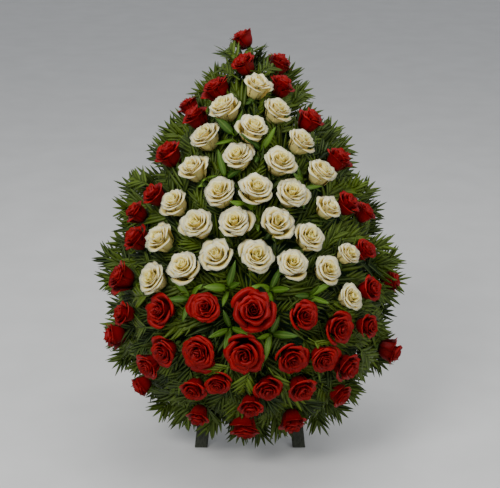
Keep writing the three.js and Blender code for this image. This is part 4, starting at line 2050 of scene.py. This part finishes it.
@dataclass
class Easel:
    """The board and the slats of the easel, with their edges eased.

    Attributes:
        nodes: their solids.
        edge: width of the eased edge, in metres.
        flat: faces that meet at less than this are one, in degrees.
        sharp: edges sharper than this are eased.
        smooth: eased faces that meet at less than this are shaded as one.
    """

    nodes: tuple[str, ...] = (
        "easel_leg_left", "easel_leg_right", "easel_leg_rear", "easel_ledge", "easel_rail", "easel_block",
        "backing_board",
    )
    edge: float = 0.0012
    flat: float = 1
    sharp: float = 40
    smooth: float = 35

    def build(self, solids: dict[str, bpy.types.Object]) -> None:
        """Copy each solid, round its edges and finish it.

        Args:
            solids: the frame's solids by name.
        """
        wood = PAINTED_WOOD.material()
        for node in self.nodes:
            slat = skin_of(solids[node], f"{node}_slat")
            select_mesh()
            bpy.ops.mesh.dissolve_limited(angle_limit=math.radians(self.flat))
            bpy.ops.object.mode_set(mode="OBJECT")
            eased = slat.modifiers.new("Eased", "BEVEL")
            eased.width = self.edge
            eased.segments = 2
            eased.limit_method = "ANGLE"
            eased.angle_limit = math.radians(self.sharp)
            bpy.ops.object.modifier_apply(modifier="Eased")
            bpy.ops.object.shade_smooth_by_angle(angle=math.radians(self.smooth))
            slat.data.materials.clear()
            slat.data.materials.append(wood)
            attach(slat, BODY)
            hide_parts(node)
            log.info("%s: eased", node)


@dataclass(frozen=True)
class Lamp:
    """A soft square lamp.

    Attributes:
        name: its name.
        size: length of its side, in metres.
        power: its power, in watts.
    """

    name: str
    size: float
    power: float

    def hang(self, place: Vector, target: Vector) -> None:
        """Hang the lamp and let it look at a point.

        Args:
            place: where it hangs in the part's frame.
            target: the point.
        """
        fresh()
        bpy.ops.object.light_add(type="AREA", location=place)
        lamp = bpy.context.object
        lamp.name = f"lamp_{self.name}"
        lamp.data.size = self.size
        lamp.data.energy = self.power
        lamp.rotation_euler = (target - place).to_track_quat("-Z", "Y").to_euler()


@dataclass
class Studio:
    """The floor, the soft lights and the camera.

    Attributes:
        floor: half of the floor's width, in metres.
        target: what the lamps look at, across, out and up in the wreath's frame.
        key: the main lamp.
        key_place: where it hangs in that frame.
        fill: the lamp that lightens the shadows.
        fill_place: where it hangs in that frame.
        top: the lamp overhead.
        top_way: the way to it from the target, in metres of the part's frame.
        sky: colour of the light all round.
        sky_strength: its strength.
        sensor: width of the camera's sensor.
    """

    floor: float = 9.0
    target: Place = (0, 100, -20)
    key: Lamp = Lamp("key", size=1.1, power=52)
    key_place: Place = (-1100, 2300, 1150)
    fill: Lamp = Lamp("fill", size=1.6, power=14)
    fill_place: Place = (1700, 1700, 500)
    top: Lamp = Lamp("top", size=1.4, power=26)
    top_way: Place = (0.2, 0.3, 2.2)
    sky: Colour = (0.9, 0.93, 1)
    sky_strength: float = 0.5
    sensor: float = 36

    def build(self, frame: Matrix) -> None:
        """Set the stage.

        Args:
            frame: from the wreath's frame to the part's.
        """
        fresh()
        bpy.ops.mesh.primitive_plane_add(size=2 * self.floor, location=(0, 0, 0))
        ground = bpy.context.object
        ground.name = "studio_floor"
        ground.data.materials.append(STUDIO_FLOOR.material())
        centre = frame @ at(*self.target)
        self.key.hang(frame @ at(*self.key_place), centre)
        self.fill.hang(frame @ at(*self.fill_place), centre)
        self.top.hang(centre + Vector(self.top_way), centre)
        world = bpy.data.worlds.new("studio")
        world.use_nodes = True
        sky = world.node_tree.nodes["Background"]
        sky.inputs["Color"].default_value = (*self.sky, 1)
        sky.inputs["Strength"].default_value = self.sky_strength
        bpy.context.scene.world = world
        self.camera(frame)

    def camera(self, frame: Matrix) -> None:
        """Look straight at the leaning face from the photograph's place.

        Args:
            frame: from the wreath's frame to the part's.
        """
        fresh()
        eye = frame @ at(0, Dome().rim_depth + VIEW_DISTANCE, 0)
        bpy.ops.object.camera_add(location=eye)
        camera = bpy.context.object
        camera.data.sensor_fit = "HORIZONTAL"
        camera.data.sensor_width = self.sensor
        camera.data.lens = self.sensor * VIEW_DISTANCE / (PLAN_UNIT * PLAN_WIDTH)
        ahead = frame.to_3x3() @ at(0, -1, 0)
        camera.rotation_euler = ahead.to_track_quat("-Z", "Y").to_euler()
        bpy.context.scene.camera = camera


def main() -> None:
    """Build the wreath around its solids and report each piece."""
    logging.basicConfig(level=logging.INFO, format="%(name)s: %(message)s")
    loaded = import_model()
    frame = WreathFrame().matrix()
    Studio().build(frame)
    dome = Dome()
    white = [dome.posy(plan) for plan in WHITE_POSIES]
    red = [dome.posy(plan) for plan in RED_POSIES]
    heads = [head for posy in white + red for head in posy]
    dome.space_out(heads)
    white_forms = [RoseForm(Bloom.OPEN, 1), RoseForm(Bloom.OPEN, 2), RoseForm(Bloom.HALF_OPEN, 3)]
    red_forms = [RoseForm(Bloom.OPEN, 4), RoseForm(Bloom.HALF_OPEN, 5), RoseForm(Bloom.HALF_OPEN, 6)]
    Posies("white_roses", WHITE_PETALS, white_forms).build(white, frame)
    Posies("red_roses", RED_PETALS, red_forms).build(red, frame)
    room = HeadRoom(heads)
    Fronds(dome, room, frame).build()
    LeafSprays(dome, room, frame).build()
    Easel().build(loaded["nodes"])
    Foam().build(loaded["nodes"]["floral_foam"], frame)


if __name__ == "__main__":
    main()
